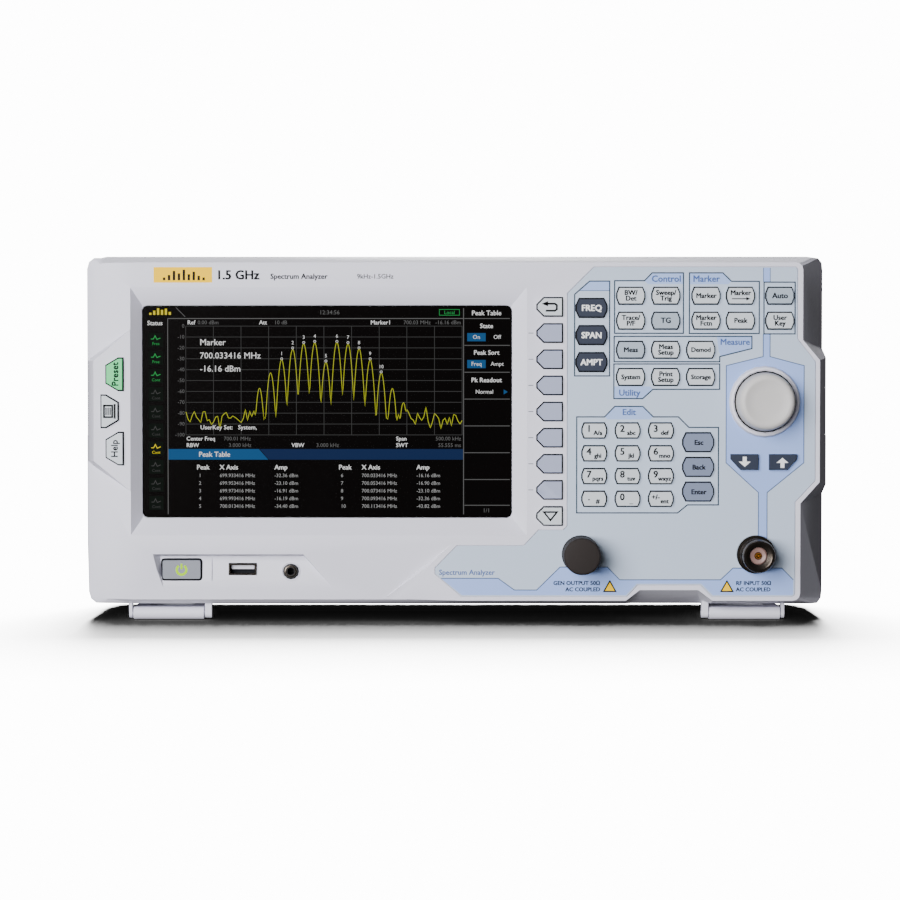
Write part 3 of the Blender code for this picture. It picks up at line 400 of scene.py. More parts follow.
finishes = {
    # light grey ABS, injection moulded with a fine spark texture: soft sheen, no clear reflection
    "absLight": moulded("#DBDAE7", "#D7D6E4", 0.52, 0.5, 0.22, 0.03),
    # the same ABS in mid grey for the rear shell
    "absCase": moulded("#C4C4CA", "#BFBFC6", 0.55, 0.6, 0.3, 0.04),
    # printed polycarbonate film with a satin hard coat: pale blue-grey, slightly glossier than the ABS
    "filmSatin": moulded("#BCC9DD", "#B7C5DA", 0.42, 0.35, 0.08, 0.02, cloud=160),
    # the knob's softer, warmer ABS
    "knobGrey": moulded("#C6C3C2", "#C2BFBE", 0.5, 0.4, 0.15, 0.02),
    # lacquered silicone rubber
    "keyPale": lacquered("#C9CFD6", "#C5CBD2"),
    "keyGrey": lacquered("#9DA3BC", "#999FB9"),
    "keyTint": lacquered("#A3AFBE", "#9FABBA"),
    "keySteel": lacquered("#77819A", "#737D96"),
    "keyDark": lacquered("#272E40", "#242B3C", 0.55),
    "keyGreen": lacquered("#58D184", "#54CD80"),
    "powerGrey": lacquered("#81848E", "#7D808A"),
    # glass-filled nylon, PVC of the dust cap and rubber of the feet: near black, soft sheen
    "nylonBlack": moulded("#1B1B1D", "#202022", 0.45, 0.5, 0.2, 0.03),
    "capBrown": moulded("#292423", "#262120", 0.65, 0.5, 0.15, 0.02, specular=0.25),
    "rubberBlack": moulded("#161616", "#1B1B1B", 0.8, 0.8, 0.4, 0.05),
    # painted shade: dark flat rings where the gaps round the keys, the knob and the USB opening lie in shade
    "paintedGapShade": {"colour": "#17181C", "shade": "#141519", "roughness": 0.8, "specular": 0.15},
    # dulled nickel on turned brass: brown-grey, with clear reflections
    "nickelDark": moulded("#746B63", "#665D56", 0.22, 0.4, 0.1, 0.01, metallic=1.0, spread=0.06),
    # bright nickel on turned brass: fine lathe rings, clear reflections
    "nickelPlate": moulded("#C9C3BC", "#BEB7AE", 0.24, 0.4, 0.1, 0.01, metallic=1.0, spread=0.08),
    # hard gold on the contact
    "goldPlate": {"colour": "#E0A83C", "shade": "#D89E34", "roughness": 0.22, "metallic": 1.0, "bump": 0.05},
    # PTFE insulator, waxy and white, painted darker and a little pink: painted shade of the bore and a
    # painted reflection of the gold beside it
    "ptfeShadedPink": {"colour": "#8F736D", "shade": "#876B65", "roughness": 0.4, "bump": 0.05},
    # zinc-plated steel sheet, rolled: cool grey with faint rolling lines
    "zincSheet": {"colour": "#B9BCBF", "shade": "#A9ACB0", "roughness": 0.38, "metallic": 1.0, "cloud": 12,
                  "brushed": (1.0, 0.04, 1.0), "bump": 0.15, "depth": 0.02},
    # epoxy glass board under green solder mask
    "solderMask": moulded("#1E6B3C", "#1A5F35", 0.35, 1.2, 0.2, 0.03, cloud=6),
    # cover glass over a dark panel: black with clear reflections
    "coverGlass": {"colour": "#060505", "shade": "#080606", "roughness": 0.16, "spread": 0.01, "bump": 0.0,
                   "specular": 0.08},
    # screen-printing inks, the wide fields a little glossier
    "inkSlate": printed("#343E4C", "#303A48"),
    "inkBlueLine": printed("#4C5C80", "#48587C"),
    "inkBlueField": {"colour": "#9AB4EE", "shade": "#96B0EB", "roughness": 0.45, "bump": 0.05},
    "inkTabField": {"colour": "#A0B9E9", "shade": "#9CB5E6", "roughness": 0.45, "bump": 0.05},
    "inkTitle": printed("#4E6299", "#4A5E95"),
    "inkBlack": printed("#0E0F12", "#111215"),
    "inkWhite": printed("#F2F3F5", "#EEEFF1", 0.5),
    "inkYellow": printed("#FFCC00", "#FAC700", 0.1),
}
paints = {name: surface(name, look) for name, look in finishes.items()}
screenInks = {
    # lit dots of the display: colour and strength, relative to white
    "dotsWhite": ("#F4F4F4", 0.95), "dotsText": ("#B4B4B4", 0.8), "dotsGrey": ("#8A8A8A", 0.5),
    "dotsDim": ("#5C5C5C", 0.5), "dotsTrace": ("#C9CE3A", 0.9), "dotsYellow": ("#F0DC30", 0.95),
    "dotsGreen": ("#3CC060", 0.7), "dotsMoss": ("#0B2213", 0.25), "dotsBlue": ("#1C5C94", 0.8),
    "dotsNavy": ("#142C58", 0.8), "dotsPower": ("#B8F000", 1.5),
}
dots = {name: glow(name, *light) for name, light in screenInks.items()}
print("stage: materials ready")


# CAD nodes that keep their own shape

ownShape = {
    "front_overlay": "filmSatin", "display_window": "coverGlass",
    "lcd_module": "zincSheet", "keypad_boards": "solderMask", "inner_chassis": "zincSheet",
    "main_board": "solderMask", "rf_shield": "zincSheet", "power_supply": "solderMask",
    "rotary_encoder": "nickelPlate", "usb_host_socket": "nickelDark", "headphone_jack": "nylonBlack",
    "fan_frame": "nylonBlack", "fan_rotor": "nylonBlack", "dust_filter": "nylonBlack",
    "bnc_sockets": "nickelPlate",
    "data_sockets": "nickelPlate", "mains_inlet": "nylonBlack",
}
for node, finish in ownShape.items():
    paint(frame["nodes"][node], paints[finish])


# keys

keySettings = {
    "edgeRound": 0.65,  # mm, the moulded round along the front edge of each cap
    "edgeSteps": 3,
    "gapShade": (0.05, 0.75),  # mm outside the cap, where the ring of painted gap shade starts and ends
    "powerGapShade": 1.0,
    "filmEdge": 56,  # mm, keys right of this X sit in the film and not in the bezel
    "tones": {
        "keys_control_lower": "keyPale", "key_auto": "keyTint", "key_user": "keyPale",
        "key_escape": "keySteel", "key_back": "keySteel", "key_enter": "keySteel", "key_frequency": "keyDark",
        "key_span": "keyDark", "key_amplitude": "keyDark", "key_down": "keyDark", "key_up": "keyDark",
        "key_preset": "keyGreen", "power_button": "powerGrey",
    },
    "slots": {"keyPale": "pale_key", "keyDark": "dark_key", "keyGreen": "green_key"},  # the rest are grey_key
    "tintedRight": {"keys_control_lower": 93.0},  # caps right of this X, in mm, are tinted
    "tintedLeft": {"keys_measure_row": 93.0},
}


def makeKeys():
    nodes = [n for n in frame["nodes"] if n.startswith(("key_", "keys_", "soft_key")) or n == "power_button"]
    gapShades = []
    for node in sorted(nodes):
        piece = copyNode(node, node + "_cap")
        capFront = min(v.co.y for v in piece.data.vertices)
        start, end = keySettings["gapShade"]
        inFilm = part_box(node)[0].x > keySettings["filmEdge"] * mm
        level = frontY - lifts["gapShade"] * mm if inFilm else bezelFace
        # each cap gets a dark flat ring round it: painted shade where the gap between cap and bezel lies in
        # shade
        for outline in faceOutlines(piece, capFront):
            if node == "power_button":
                onTray = bezelFace + tray["depth"] * mm
                ring = gasket("gapShade", outline, start, keySettings["powerGapShade"], onTray)
                gapShades.append(lean(ring, tray["slope"], tray["low"]))
            else:
                gapShades.append(gasket("gapShade", outline, start, end, level))
        bpy.ops.object.mode_set(mode="EDIT")
        bpy.ops.mesh.select_mode(type="FACE")
        bpy.ops.mesh.select_all(action="DESELECT")
        bpy.ops.object.mode_set(mode="OBJECT")
        for face in piece.data.polygons:
            face.select = isFront(face, capFront)
        bpy.ops.object.mode_set(mode="EDIT")
        bpy.ops.mesh.region_to_loop()
        bpy.ops.mesh.bevel(
            offset=keySettings["edgeRound"] * mm, segments=keySettings["edgeSteps"], affect="EDGES",
        )
        bpy.ops.object.mode_set(mode="OBJECT")
        smooth(piece)
        soft = node.startswith("soft_key_") and node[-1].isdigit()
        tone = "keyGrey" if soft else keySettings["tones"].get(node, "keyPale")
        paint(piece, paints[tone])
        for side, sign in (("tintedRight", 1), ("tintedLeft", -1)):
            if node in keySettings[side]:
                edge = keySettings[side][node] * mm
                piece.data.materials.append(paints["keyTint"])
                for face in piece.data.polygons:
                    face.material_index = int(sign * face.center.x > sign * edge)
        keep(piece, node, keySettings["slots"].get(tone, "grey_key"), node)
    joined("keyGapShade", gapShades, paints["paintedGapShade"], caseBody, "dark_key")


makeKeys()
print("stage: keys ready")


# key legends

legends = {
    # the words of a key or row of keys: text, X, Z and height in mm, and a turn in degrees
    "key_frequency": [("FREQ", 65.5, 152.4, 3.7)],
    "key_span": [("SPAN", 65.5, 139.2, 3.7)],
    "key_amplitude": [("AMPT", 65.5, 126.1, 3.7)],
    "keys_control_upper": [("BW/\nDet", 84.5, 158.5, 3.0), ("Sweep/\nTrig", 101.5, 158.5, 3.0)],
    "keys_control_lower": [("Trace/\nP/F", 84.5, 146.4, 3.0), ("TG", 101.5, 146.4, 3.3)],
    "keys_marker_upper": [("Marker", 121.0, 158.4, 3.0), ("Marker", 137.7, 159.8, 3.0)],
    "keys_marker_lower": [("Marker\nFctn", 121.0, 146.4, 3.0), ("Peak", 137.7, 146.4, 3.0)],
    "key_auto": [("Auto", 156.8, 158.4, 3.3)],
    "key_user": [("User\nKey", 156.8, 146.4, 3.0)],
    "keys_measure_row": [("Meas", 84.5, 132.2, 3.0), ("Meas\nSetup", 101.5, 132.3, 3.0),
                         ("Demod", 118.5, 132.2, 2.8)],
    "keys_utility_row": [("System", 84.5, 119.0, 2.9), ("Print\nSetup", 101.5, 119.1, 3.0),
                         ("Storage", 118.5, 119.0, 2.8)],
    "key_escape": [("Esc", 117.6, 87.2, 3.0)],
    "key_back": [("Back", 117.6, 75.2, 3.0)],
    "key_enter": [("Enter", 117.6, 63.2, 3.0)],
    "key_help": [("Help", -166.0, 84.3, 4.0, 90)],
    "key_preset": [("Preset", -165.6, 120.4, 4.0, 90)],
}
digits = {
    "legends": (("1", "A/a"), ("2", "abc"), ("3", "def"), ("4", "ghi"), ("5", "jkl"), ("6", "mno"),
                ("7", "pqrs"), ("8", "tuv"), ("9", "wxyz"), (".", "#"), ("0", "_"), ("+/-", "ent")),
    "columns": (66.9, 83.1, 99.3), "rows": (93.1, 82.0, 70.9, 59.9),  # mm, key centres
    "nodes": ("keys_1_2_3", "keys_4_5_6", "keys_7_8_9", "keys_point_0_sign"),
    "digitPlace": (-2.6, 0.8), "letterPlace": (1.7, -1.2),
    "digitSize": 4.2, "signSize": 3.0, "letterSize": 2.7,
}
for i, (digit, letters) in enumerate(digits["legends"]):
    x, z = digits["columns"][i % 3], digits["rows"][i // 3]
    row = legends.setdefault(digits["nodes"][i // 3], [])
    size = digits["digitSize"] if digit != "+/-" else digits["signSize"]
    for text, place, height in ((digit, "digitPlace", size), (letters, "letterPlace", digits["letterSize"])):
        row.append((text, x + digits[place][0], z + digits[place][1], height))
legendSettings = {
    "scale": 1.12, "weight": 0.13,
    "white": ("key_frequency", "key_span", "key_amplitude"),
    "arrow": [(-0.95, 2.6), (0.95, 2.6), (0.95, 0.2), (2.9, 0.2), (0.0, -2.3), (-2.9, 0.2), (-0.95, 0.2)],
    "downPlace": (139.9, 77.8), "upPlace": (158.2, 77.6),
    "markerShaft": [(133.4, 157.0), (140.6, 157.0)],
    "markerHead": [(140.4, 156.1), (142.4, 157.0), (140.4, 157.9)],
    "page": [(42.4, 53.5), (48.8, 53.5), (45.6, 49.5)],
    "returnLine": [(42.3, 154.6), (47.6, 154.6), (48.6, 153.9), (48.6, 151.9), (47.6, 151.2), (43.2, 151.2)],
    "returnHead": [(44.4, 153.3), (44.4, 155.9), (41.2, 154.6)],
    "sheet": (-171.2, 99.6, -167.2, 105.2), "sheetLines": (-170.2, -169.2, -168.2),
    "sheetLineEnds": (100.6, 104.2), "sheetTray": [(-166.0, 98.8), (-166.0, 106.0)],
    "powerRadius": 2.35, "powerLine": 1.15, "powerBar": (0.2, 2.9),
}


def makeLegends():
    ink = keyFace - lifts["legend"] * mm
    shapes = legendSettings
    for node, words in legends.items():
        drawn = []
        for text, x, z, size, *turn in words:
            drawn.append(lettering("word", text, x, z, size * shapes["scale"], ink, turn=sum(turn),
                                   weight=shapes["weight"]))
        if node == "keys_marker_upper":
            drawn.append(ribbon("shaft", shapes["markerShaft"], 0.5, ink, closed=False))
            drawn.append(flatShape("head", [shapes["markerHead"]], ink))
        colour = "inkWhite" if node in shapes["white"] else "inkBlack"
        joined("legend_" + node, drawn, paints[colour], node, "dark_key")
    for node, name, sign in (("key_down", "down", 1), ("key_up", "up", -1)):
        centreX, centreZ = shapes[name + "Place"]
        outline = [(centreX + x, centreZ + sign * z) for x, z in shapes["arrow"]]
        arrow = flatShape(name + "Arrow", [outline], ink)
        joined("legend_" + node, [arrow], paints["inkWhite"], node, "pale_key")
    page = ribbon("pageArrow", shapes["page"], 0.8, ink)
    joined("legend_soft_key_page", [page], paints["inkBlack"], "soft_key_page", "dark_key")
    back = [ribbon("returnLine", shapes["returnLine"], 0.95, ink, closed=False)]
    back.append(flatShape("returnHead", [shapes["returnHead"]], ink))
    joined("legend_soft_key_return", back, paints["inkBlack"], "soft_key_return", "dark_key")
    sheet = [ribbon("sheet", boxOutline(*shapes["sheet"]), 0.9, ink)]
    low, high = shapes["sheetLineEnds"]
    for x in shapes["sheetLines"]:
        sheet.append(ribbon("sheetLine", [(x, low), (x, high)], 0.6, ink, closed=False))
    sheet.append(ribbon("tray", shapes["sheetTray"], 1.0, ink, closed=False))
    joined("legend_key_print", sheet, paints["inkBlack"], "key_print", "dark_key")


def makePowerSymbol():
    low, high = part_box("power_button")
    x, z = (low.x + high.x) / 2 / mm, (low.z + high.z) / 2 / mm
    ink = low.y - lifts["legend"] * mm
    radius = legendSettings["powerRadius"]
    turns = [math.radians(a) for a in range(35, 326, 10)]  # open at the top for the bar
    ring = [(x + radius * math.sin(a), z - 0.1 + radius * math.cos(a)) for a in turns]
    symbol = [ribbon("ring", ring, legendSettings["powerLine"], ink, closed=False)]
    foot, top = legendSettings["powerBar"]
    symbol.append(ribbon("bar", [(x, z + foot), (x, z + top)], 1.0, ink, closed=False))
    joined("powerSymbol", symbol, dots["dotsPower"], "power_button", "pale_key")


makeLegends()
makePowerSymbol()
print("stage: key legends ready")


# prints on the film

filmPrint = {
    "line": 0.6, "fieldLine": 0.42, "bandLine": 0.45, "stemLine": 0.3,  # mm, line widths
    "frames": {
        "frequency": [(57.3, 119.6), (74.3, 119.6), (74.3, 165.6), (64.6, 165.6), (57.3, 159.2)],
        "control": [(76.7, 140.3), (110.1, 140.3), (110.1, 169.6), (94.9, 169.6), (91.2, 165.8),
                    (76.7, 165.8)],
        "marker": [(113.0, 140.2), (146.9, 140.2), (146.9, 165.5), (133.4, 165.5), (129.2, 169.6),
                   (113.0, 169.6)],
        "auto": boxOutline(149.2, 140.0, 164.3, 165.1),
        "measure": [(76.5, 126.5), (127.8, 126.5), (127.8, 129.0), (143.4, 132.9), (143.4, 138.8),
                    (76.5, 138.8)],
        "utility": [(76.4, 125.4), (76.4, 108.6), (90.4, 108.6), (95.4, 113.1), (127.8, 113.1),
                    (127.8, 125.4)],
        "edit": [(58.4, 53.0), (107.5, 53.0), (112.3, 56.9), (127.3, 56.9), (127.3, 94.6), (112.9, 94.6),
                 (107.8, 99.7), (95.6, 99.7), (90.5, 104.8), (76.9, 104.8), (71.9, 99.7), (58.4, 99.7)],
    },
    "tabs": [
        [(59.4, 161.0), (74.1, 161.0), (74.1, 165.4), (64.7, 165.4)],
        [(91.4, 165.6), (92.9, 164.2), (109.9, 164.2), (109.9, 169.4), (95.0, 169.4)],
        [(113.2, 164.1), (131.9, 164.1), (133.2, 165.4), (129.1, 169.4), (113.2, 169.4)],
        [(126.4, 138.6), (127.4, 131.2), (128.2, 129.4), (143.2, 133.1), (143.2, 138.6)],
        [(76.6, 108.8), (90.3, 108.8), (95.2, 113.2), (94.2, 114.5), (76.6, 114.5)],
        [(72.2, 99.7), (73.4, 98.5), (94.2, 98.5), (95.3, 99.7), (90.4, 104.6), (77.0, 104.6)],
    ],
    "tabLine": [(59.6, 161.0), (74.1, 161.0)],
    "titles": [("Control", 101.8, 166.6, 4.4), ("Marker", 121.2, 166.6, 4.4), ("Measure", 135.2, 136.0, 4.2),
               ("Utility", 84.0, 111.3, 4.2), ("Edit", 83.8, 101.9, 4.2)],
    "knobLeft": [(148.9, 139.8), (148.9, 129.0), (131.0, 124.6), (131.0, 77.4), (146.8, 62.9),
                 (146.8, 40.6)],
    "knobRight": [(151.0, 40.6), (151.0, 62.9), (168.8, 77.4), (168.8, 124.6), (152.2, 129.0),
                  (152.2, 139.8)],
    "stem": (148.9, 165.3, 152.2, 172.1),
    "bandTop": [(-7.6, 21.1), (20.2, 21.1), (28.1, 15.4), (39.0, 15.4), (50.4, 26.6), (73.4, 26.6),
                (79.4, 20.4), (128.5, 20.4), (134.5, 26.1), (158.3, 26.1), (163.9, 20.4)],
    "bandLow": [(163.9, 13.5), (163.3, 12.9), (124.7, 12.9), (119.1, 18.5), (87.7, 18.5), (82.5, 12.9),
                (2.6, 12.9)],
    "name": ("Spectrum Analyzer", -8.6, 23.9, 3.6),
    "notes": [("GEN OUTPUT 50Ω", 69.9, 18.7, "RIGHT"), ("AC COUPLED", 69.9, 15.6, "RIGHT"),
              ("RF INPUT 50Ω", 136.0, 18.7, "LEFT"), ("AC COUPLED", 136.0, 15.6, "LEFT")],
    "noteSize": 2.75,
    "signs": ((74.6, 16.7), (131.6, 16.7)), "sign": ((-2.9, -2.0), (2.9, -2.0), (0.0, 3.1)),
}
header = {
    "badge": (-147.1, 164.9, -118.7, 172.4),  # mm
    "bars": (1.4, 2.6, 4.6, 3.4, 5.2, 3.0, 4.2, 2.2, 1.4), "barPlace": (-142.6, 166.0),
    "barPitch": 2.4, "barWidth": 1.2,
    "words": (("1.5 GHz", -116.8, 168.4, 6.2, 0.2), ("Spectrum Analyzer", -90.4, 167.8, 3.6, 0.11),
              ("9kHz-1.5GHz", -48.4, 167.8, 3.2, 0.04)),  # text, X, Z, height and weight
    "guideStart": 34.9, "guideGap": 0.9, "guideLine": 0.3,
}


def makeFilmPrint():
    level = frontY - lifts["field"] * mm  # fields lie under the lines
    over = frontY - lifts["line"] * mm
    look = filmPrint
    tabs = [flatShape("tab", [outline], level) for outline in look["tabs"]]
    joined("tabFields", tabs, paints["inkTabField"], caseBody, "printed_film")
    fields = [flatShape("knobField", [look["knobLeft"] + look["knobRight"]], level)]
    fields.append(flatShape("stem", [boxOutline(*look["stem"])], level))
    fields.append(flatShape("band", [look["bandTop"] + look["bandLow"]], level))
    joined("blueFields", fields, paints["inkBlueField"], caseBody, "printed_film")
    frames = [ribbon("frame", outline, look["line"], over) for outline in look["frames"].values()]
    joined("frameLines", frames, paints["inkSlate"], caseBody, "printed_film")
    thin = []
    for side in ("knobLeft", "knobRight"):
        thin.append(ribbon("fieldLine", look[side], look["fieldLine"], over, closed=False))
    thin.append(ribbon("bandLine", look["bandTop"], look["bandLine"], over, closed=False))
    left, low, right, high = look["stem"]
    for x in (left, right):
        thin.append(ribbon("stemLine", [(x, low), (x, high)], look["stemLine"], over, closed=False))
    thin.append(ribbon("tabLine", look["tabLine"], look["stemLine"], over, closed=False))
    joined("fieldLines", thin, paints["inkBlueLine"], caseBody, "printed_film")
    titles = [lettering("title", *title, over, weight=0.12) for title in look["titles"]]
    joined("groupTitles", titles, paints["inkTitle"], caseBody, "printed_film")
    name = lettering("filmName", *look["name"], over, align="LEFT", squeeze=0.98, weight=0.07)
    joined("filmName", [name], paints["inkTitle"], caseBody, "printed_film")


def makeConnectorNotes():
    over = frontY - lifts["line"] * mm
    notes, signs = [], []
    for text, x, z, align in filmPrint["notes"]:
        notes.append(lettering("note", text, x, z, filmPrint["noteSize"], over, align=align, weight=0.09))
    for x, z in filmPrint["signs"]:
        outline = [(x + right, z + up) for right, up in filmPrint["sign"]]
        signs.append(flatShape("sign", [outline], over))
        notes.append(ribbon("signEdge", outline, 0.6, over - 0.02 * mm))
    joined("connectorNotes", notes, paints["inkBlack"], caseBody, "printed_film")
    joined("connectorSigns", signs, paints["inkYellow"], caseBody, "printed_film")


def makeHeader():
    badge = flatShape("badge", [boxOutline(*header["badge"])], bezelFace)
    joined("nameBadge", [badge], paints["inkYellow"], caseBody, "bezel_plastic")
    drawn = []
    start, foot = header["barPlace"]
    for i, height in enumerate(header["bars"]):
        x = start + i * header["barPitch"]
        outline = boxOutline(x, foot, x + header["barWidth"], foot + height)
        drawn.append(flatShape("bar", [outline], bezelFace - 0.03 * mm))
    for text, x, z, size, weight in header["words"]:
        drawn.append(lettering("word", text, x, z, size, bezelFace, align="LEFT", weight=weight))
    joined("headerPrint", drawn, paints["inkBlack"], caseBody, "bezel_plastic")
    guides = []
    for i in range(1, 8):
        low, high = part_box(f"soft_key_{i}")
        z = (low.z + high.z) / 2 / mm
        ends = [(header["guideStart"], z), (low.x / mm - header["guideGap"], z)]
        guides.append(ribbon("guide", ends, header["guideLine"], bezelFace, closed=False))
    joined("keyGuides", guides, paints["inkSlate"], caseBody, "bezel_plastic")


makeFilmPrint()
makeConnectorNotes()
makeHeader()
print("stage: prints ready")


# display picture

screen = {
    "graph": (-132.2, 90.8, 2.7, 143.9),  # mm: left, low, right, high
    "divisions": 10, "gridLine": 0.28, "frameLine": 0.4,
    "frames": [[(-141.0, 147.6), (3.4, 147.6)], [(-141.0, 52.0), (-141.0, 147.6)],
               [(3.4, 52.0), (3.4, 152.6)]],
    "peakStart": -96.2, "peakPitch": 5.4,
    "peaks": (57, 43, 31, 21, 16, 15, 33, 15, 16, 21, 31, 43, 57, 70),  # dB below the top line
    "marked": range(2, 12),
    "noiseFloor": 84, "noiseSeed": 11, "noiseSpread": 4.2, "noisePoints": 132,
    "steps": 390, "stepsPerPoint": 3,
    "traceRadius": 0.16,
    "marks": (1.0, 2.0, 3.2, 2.4, 3.0, 1.4),  # heights of the small yellow bars
    "states": 10, "stateTop": 137.2, "statePitch": 8.85, "stateBox": (-150.4, -3.4, -143.2, 3.4),
    "stateWave": [(-149.2, 0.4), (-148.0, 0.4), (-147.2, 2.0), (-146.3, 0.2), (-144.6, 0.9)],
    "stateInks": {0: "dotsGreen", 1: "dotsGreen", 2: "dotsGreen", 6: "dotsYellow"},
    "labels": [  # text, X, Z, height and weight
        ("Status", -151.0, 145.3, 3.1, 0.06), ("Ref", -131.4, 145.6, 2.9, 0.04),
        ("Att", -96.4, 145.6, 2.9, 0.04), ("Marker1", -42.0, 145.6, 2.9, 0.04),
        ("Marker", -125.4, 135.9, 4.3, 0.04), ("700.033416 MHz", -125.4, 129.4, 4.3, 0.02),
        ("-16.16 dBm", -125.4, 123.0, 4.3, 0.02), ("UserKey Set:   System,", -125.2, 94.4, 3.0, 0.04),
        ("Center Freq", -132.0, 88.9, 2.8, 0.04), ("Span", -29.6, 88.9, 2.8, 0.04),
        ("RBW", -132.0, 85.7, 2.8, 0.04), ("VBW", -80.6, 85.7, 2.8, 0.04), ("SWT", -29.6, 85.7, 2.8, 0.04),
        ("Peak Table", -126.0, 81.2, 3.5, 0.07),
    ],
    "values": [  # text, X, Z and the side it is set from
        ("0.00 dBm", -126.4, 145.6, "LEFT"), ("10 dB", -89.0, 145.6, "LEFT"),
        ("700.03 MHz   -16.16 dBm", 2.2, 145.6, "RIGHT"), ("700.01 MHz", -113.8, 88.9, "LEFT"),
        ("500.00 kHz", 2.2, 88.9, "RIGHT"), ("3.000 kHz", -111.4, 85.7, "LEFT"),
        ("3.000 kHz", -68.6, 85.7, "LEFT"), ("55.555 ms", 2.2, 85.7, "RIGHT"),
    ],
    "valueSize": 2.7,
    "tableStarts": (-127.0, -57.6), "tableHeads": (("Peak", 0.0), ("X Axis", 11.2), ("Amp", 38.0)),
    "tableTop": 70.9, "tablePitch": 3.75, "tableSize": 2.5,
    "levels": ("-32.36", "-23.10", "-16.91", "-16.19", "-34.40", "-16.16", "-16.90", "-23.10", "-32.36",
               "-43.82"),
    "menuCentre": 14.6,
    "menuTitles": (("Peak Table", 150.2, 3.3), ("State", 143.9, 3.2), ("Peak Sort", 130.9, 3.2),
                   ("Pk Readout", 117.5, 3.2)),
    "menuPairs": (("On", "Off", 138.5), ("Freq", "Ampt", 125.4)),
    "menuLines": (147.6, 134.5, 121.4, 108.3, 95.2, 82.1, 69.0, 56.4),
}


def traceLevel(x, noise):
    # dB below the top line: the comb of peaks over a noisy floor
    level = screen["noiseFloor"] + noise
    for i, peak in enumerate(screen["peaks"]):
        distance = abs(x - screen["peakStart"] - screen["peakPitch"] * i)
        level = min(level, peak + 6.9 * distance ** 2 + noise * 0.1)
    return min(99.0, level)


def makeTrace(y):
    left, low, right, high = screen["graph"]
    draws = random.Random(screen["noiseSeed"])
    jumps = [draws.gauss(0, screen["noiseSpread"]) for i in range(screen["noisePoints"])]
    points = []
    for i in range(screen["steps"] + 1):
        x = left + (right - left) * i / screen["steps"]
        before, part = divmod(i / screen["stepsPerPoint"], 1)
        noise = jumps[int(before)] * (1 - part) + jumps[int(before) + 1] * part
        points.append((x, high - (high - low) * traceLevel(x, noise) / 100))
    curve = bpy.data.curves.new("trace", "CURVE")
    curve.dimensions = "3D"
    curve.bevel_depth = screen["traceRadius"] * mm
    curve.bevel_resolution = 0
    spline = curve.splines.new("POLY")
    spline.points.add(len(points) - 1)
    for point, (x, z) in zip(spline.points, points):
        point.co = (x * mm, y, z * mm, 1.0)
    trace = bpy.data.objects.new("trace", curve)
    bpy.context.scene.collection.objects.link(trace)
    activate(trace)
    bpy.ops.object.convert(target="MESH")
    return trace


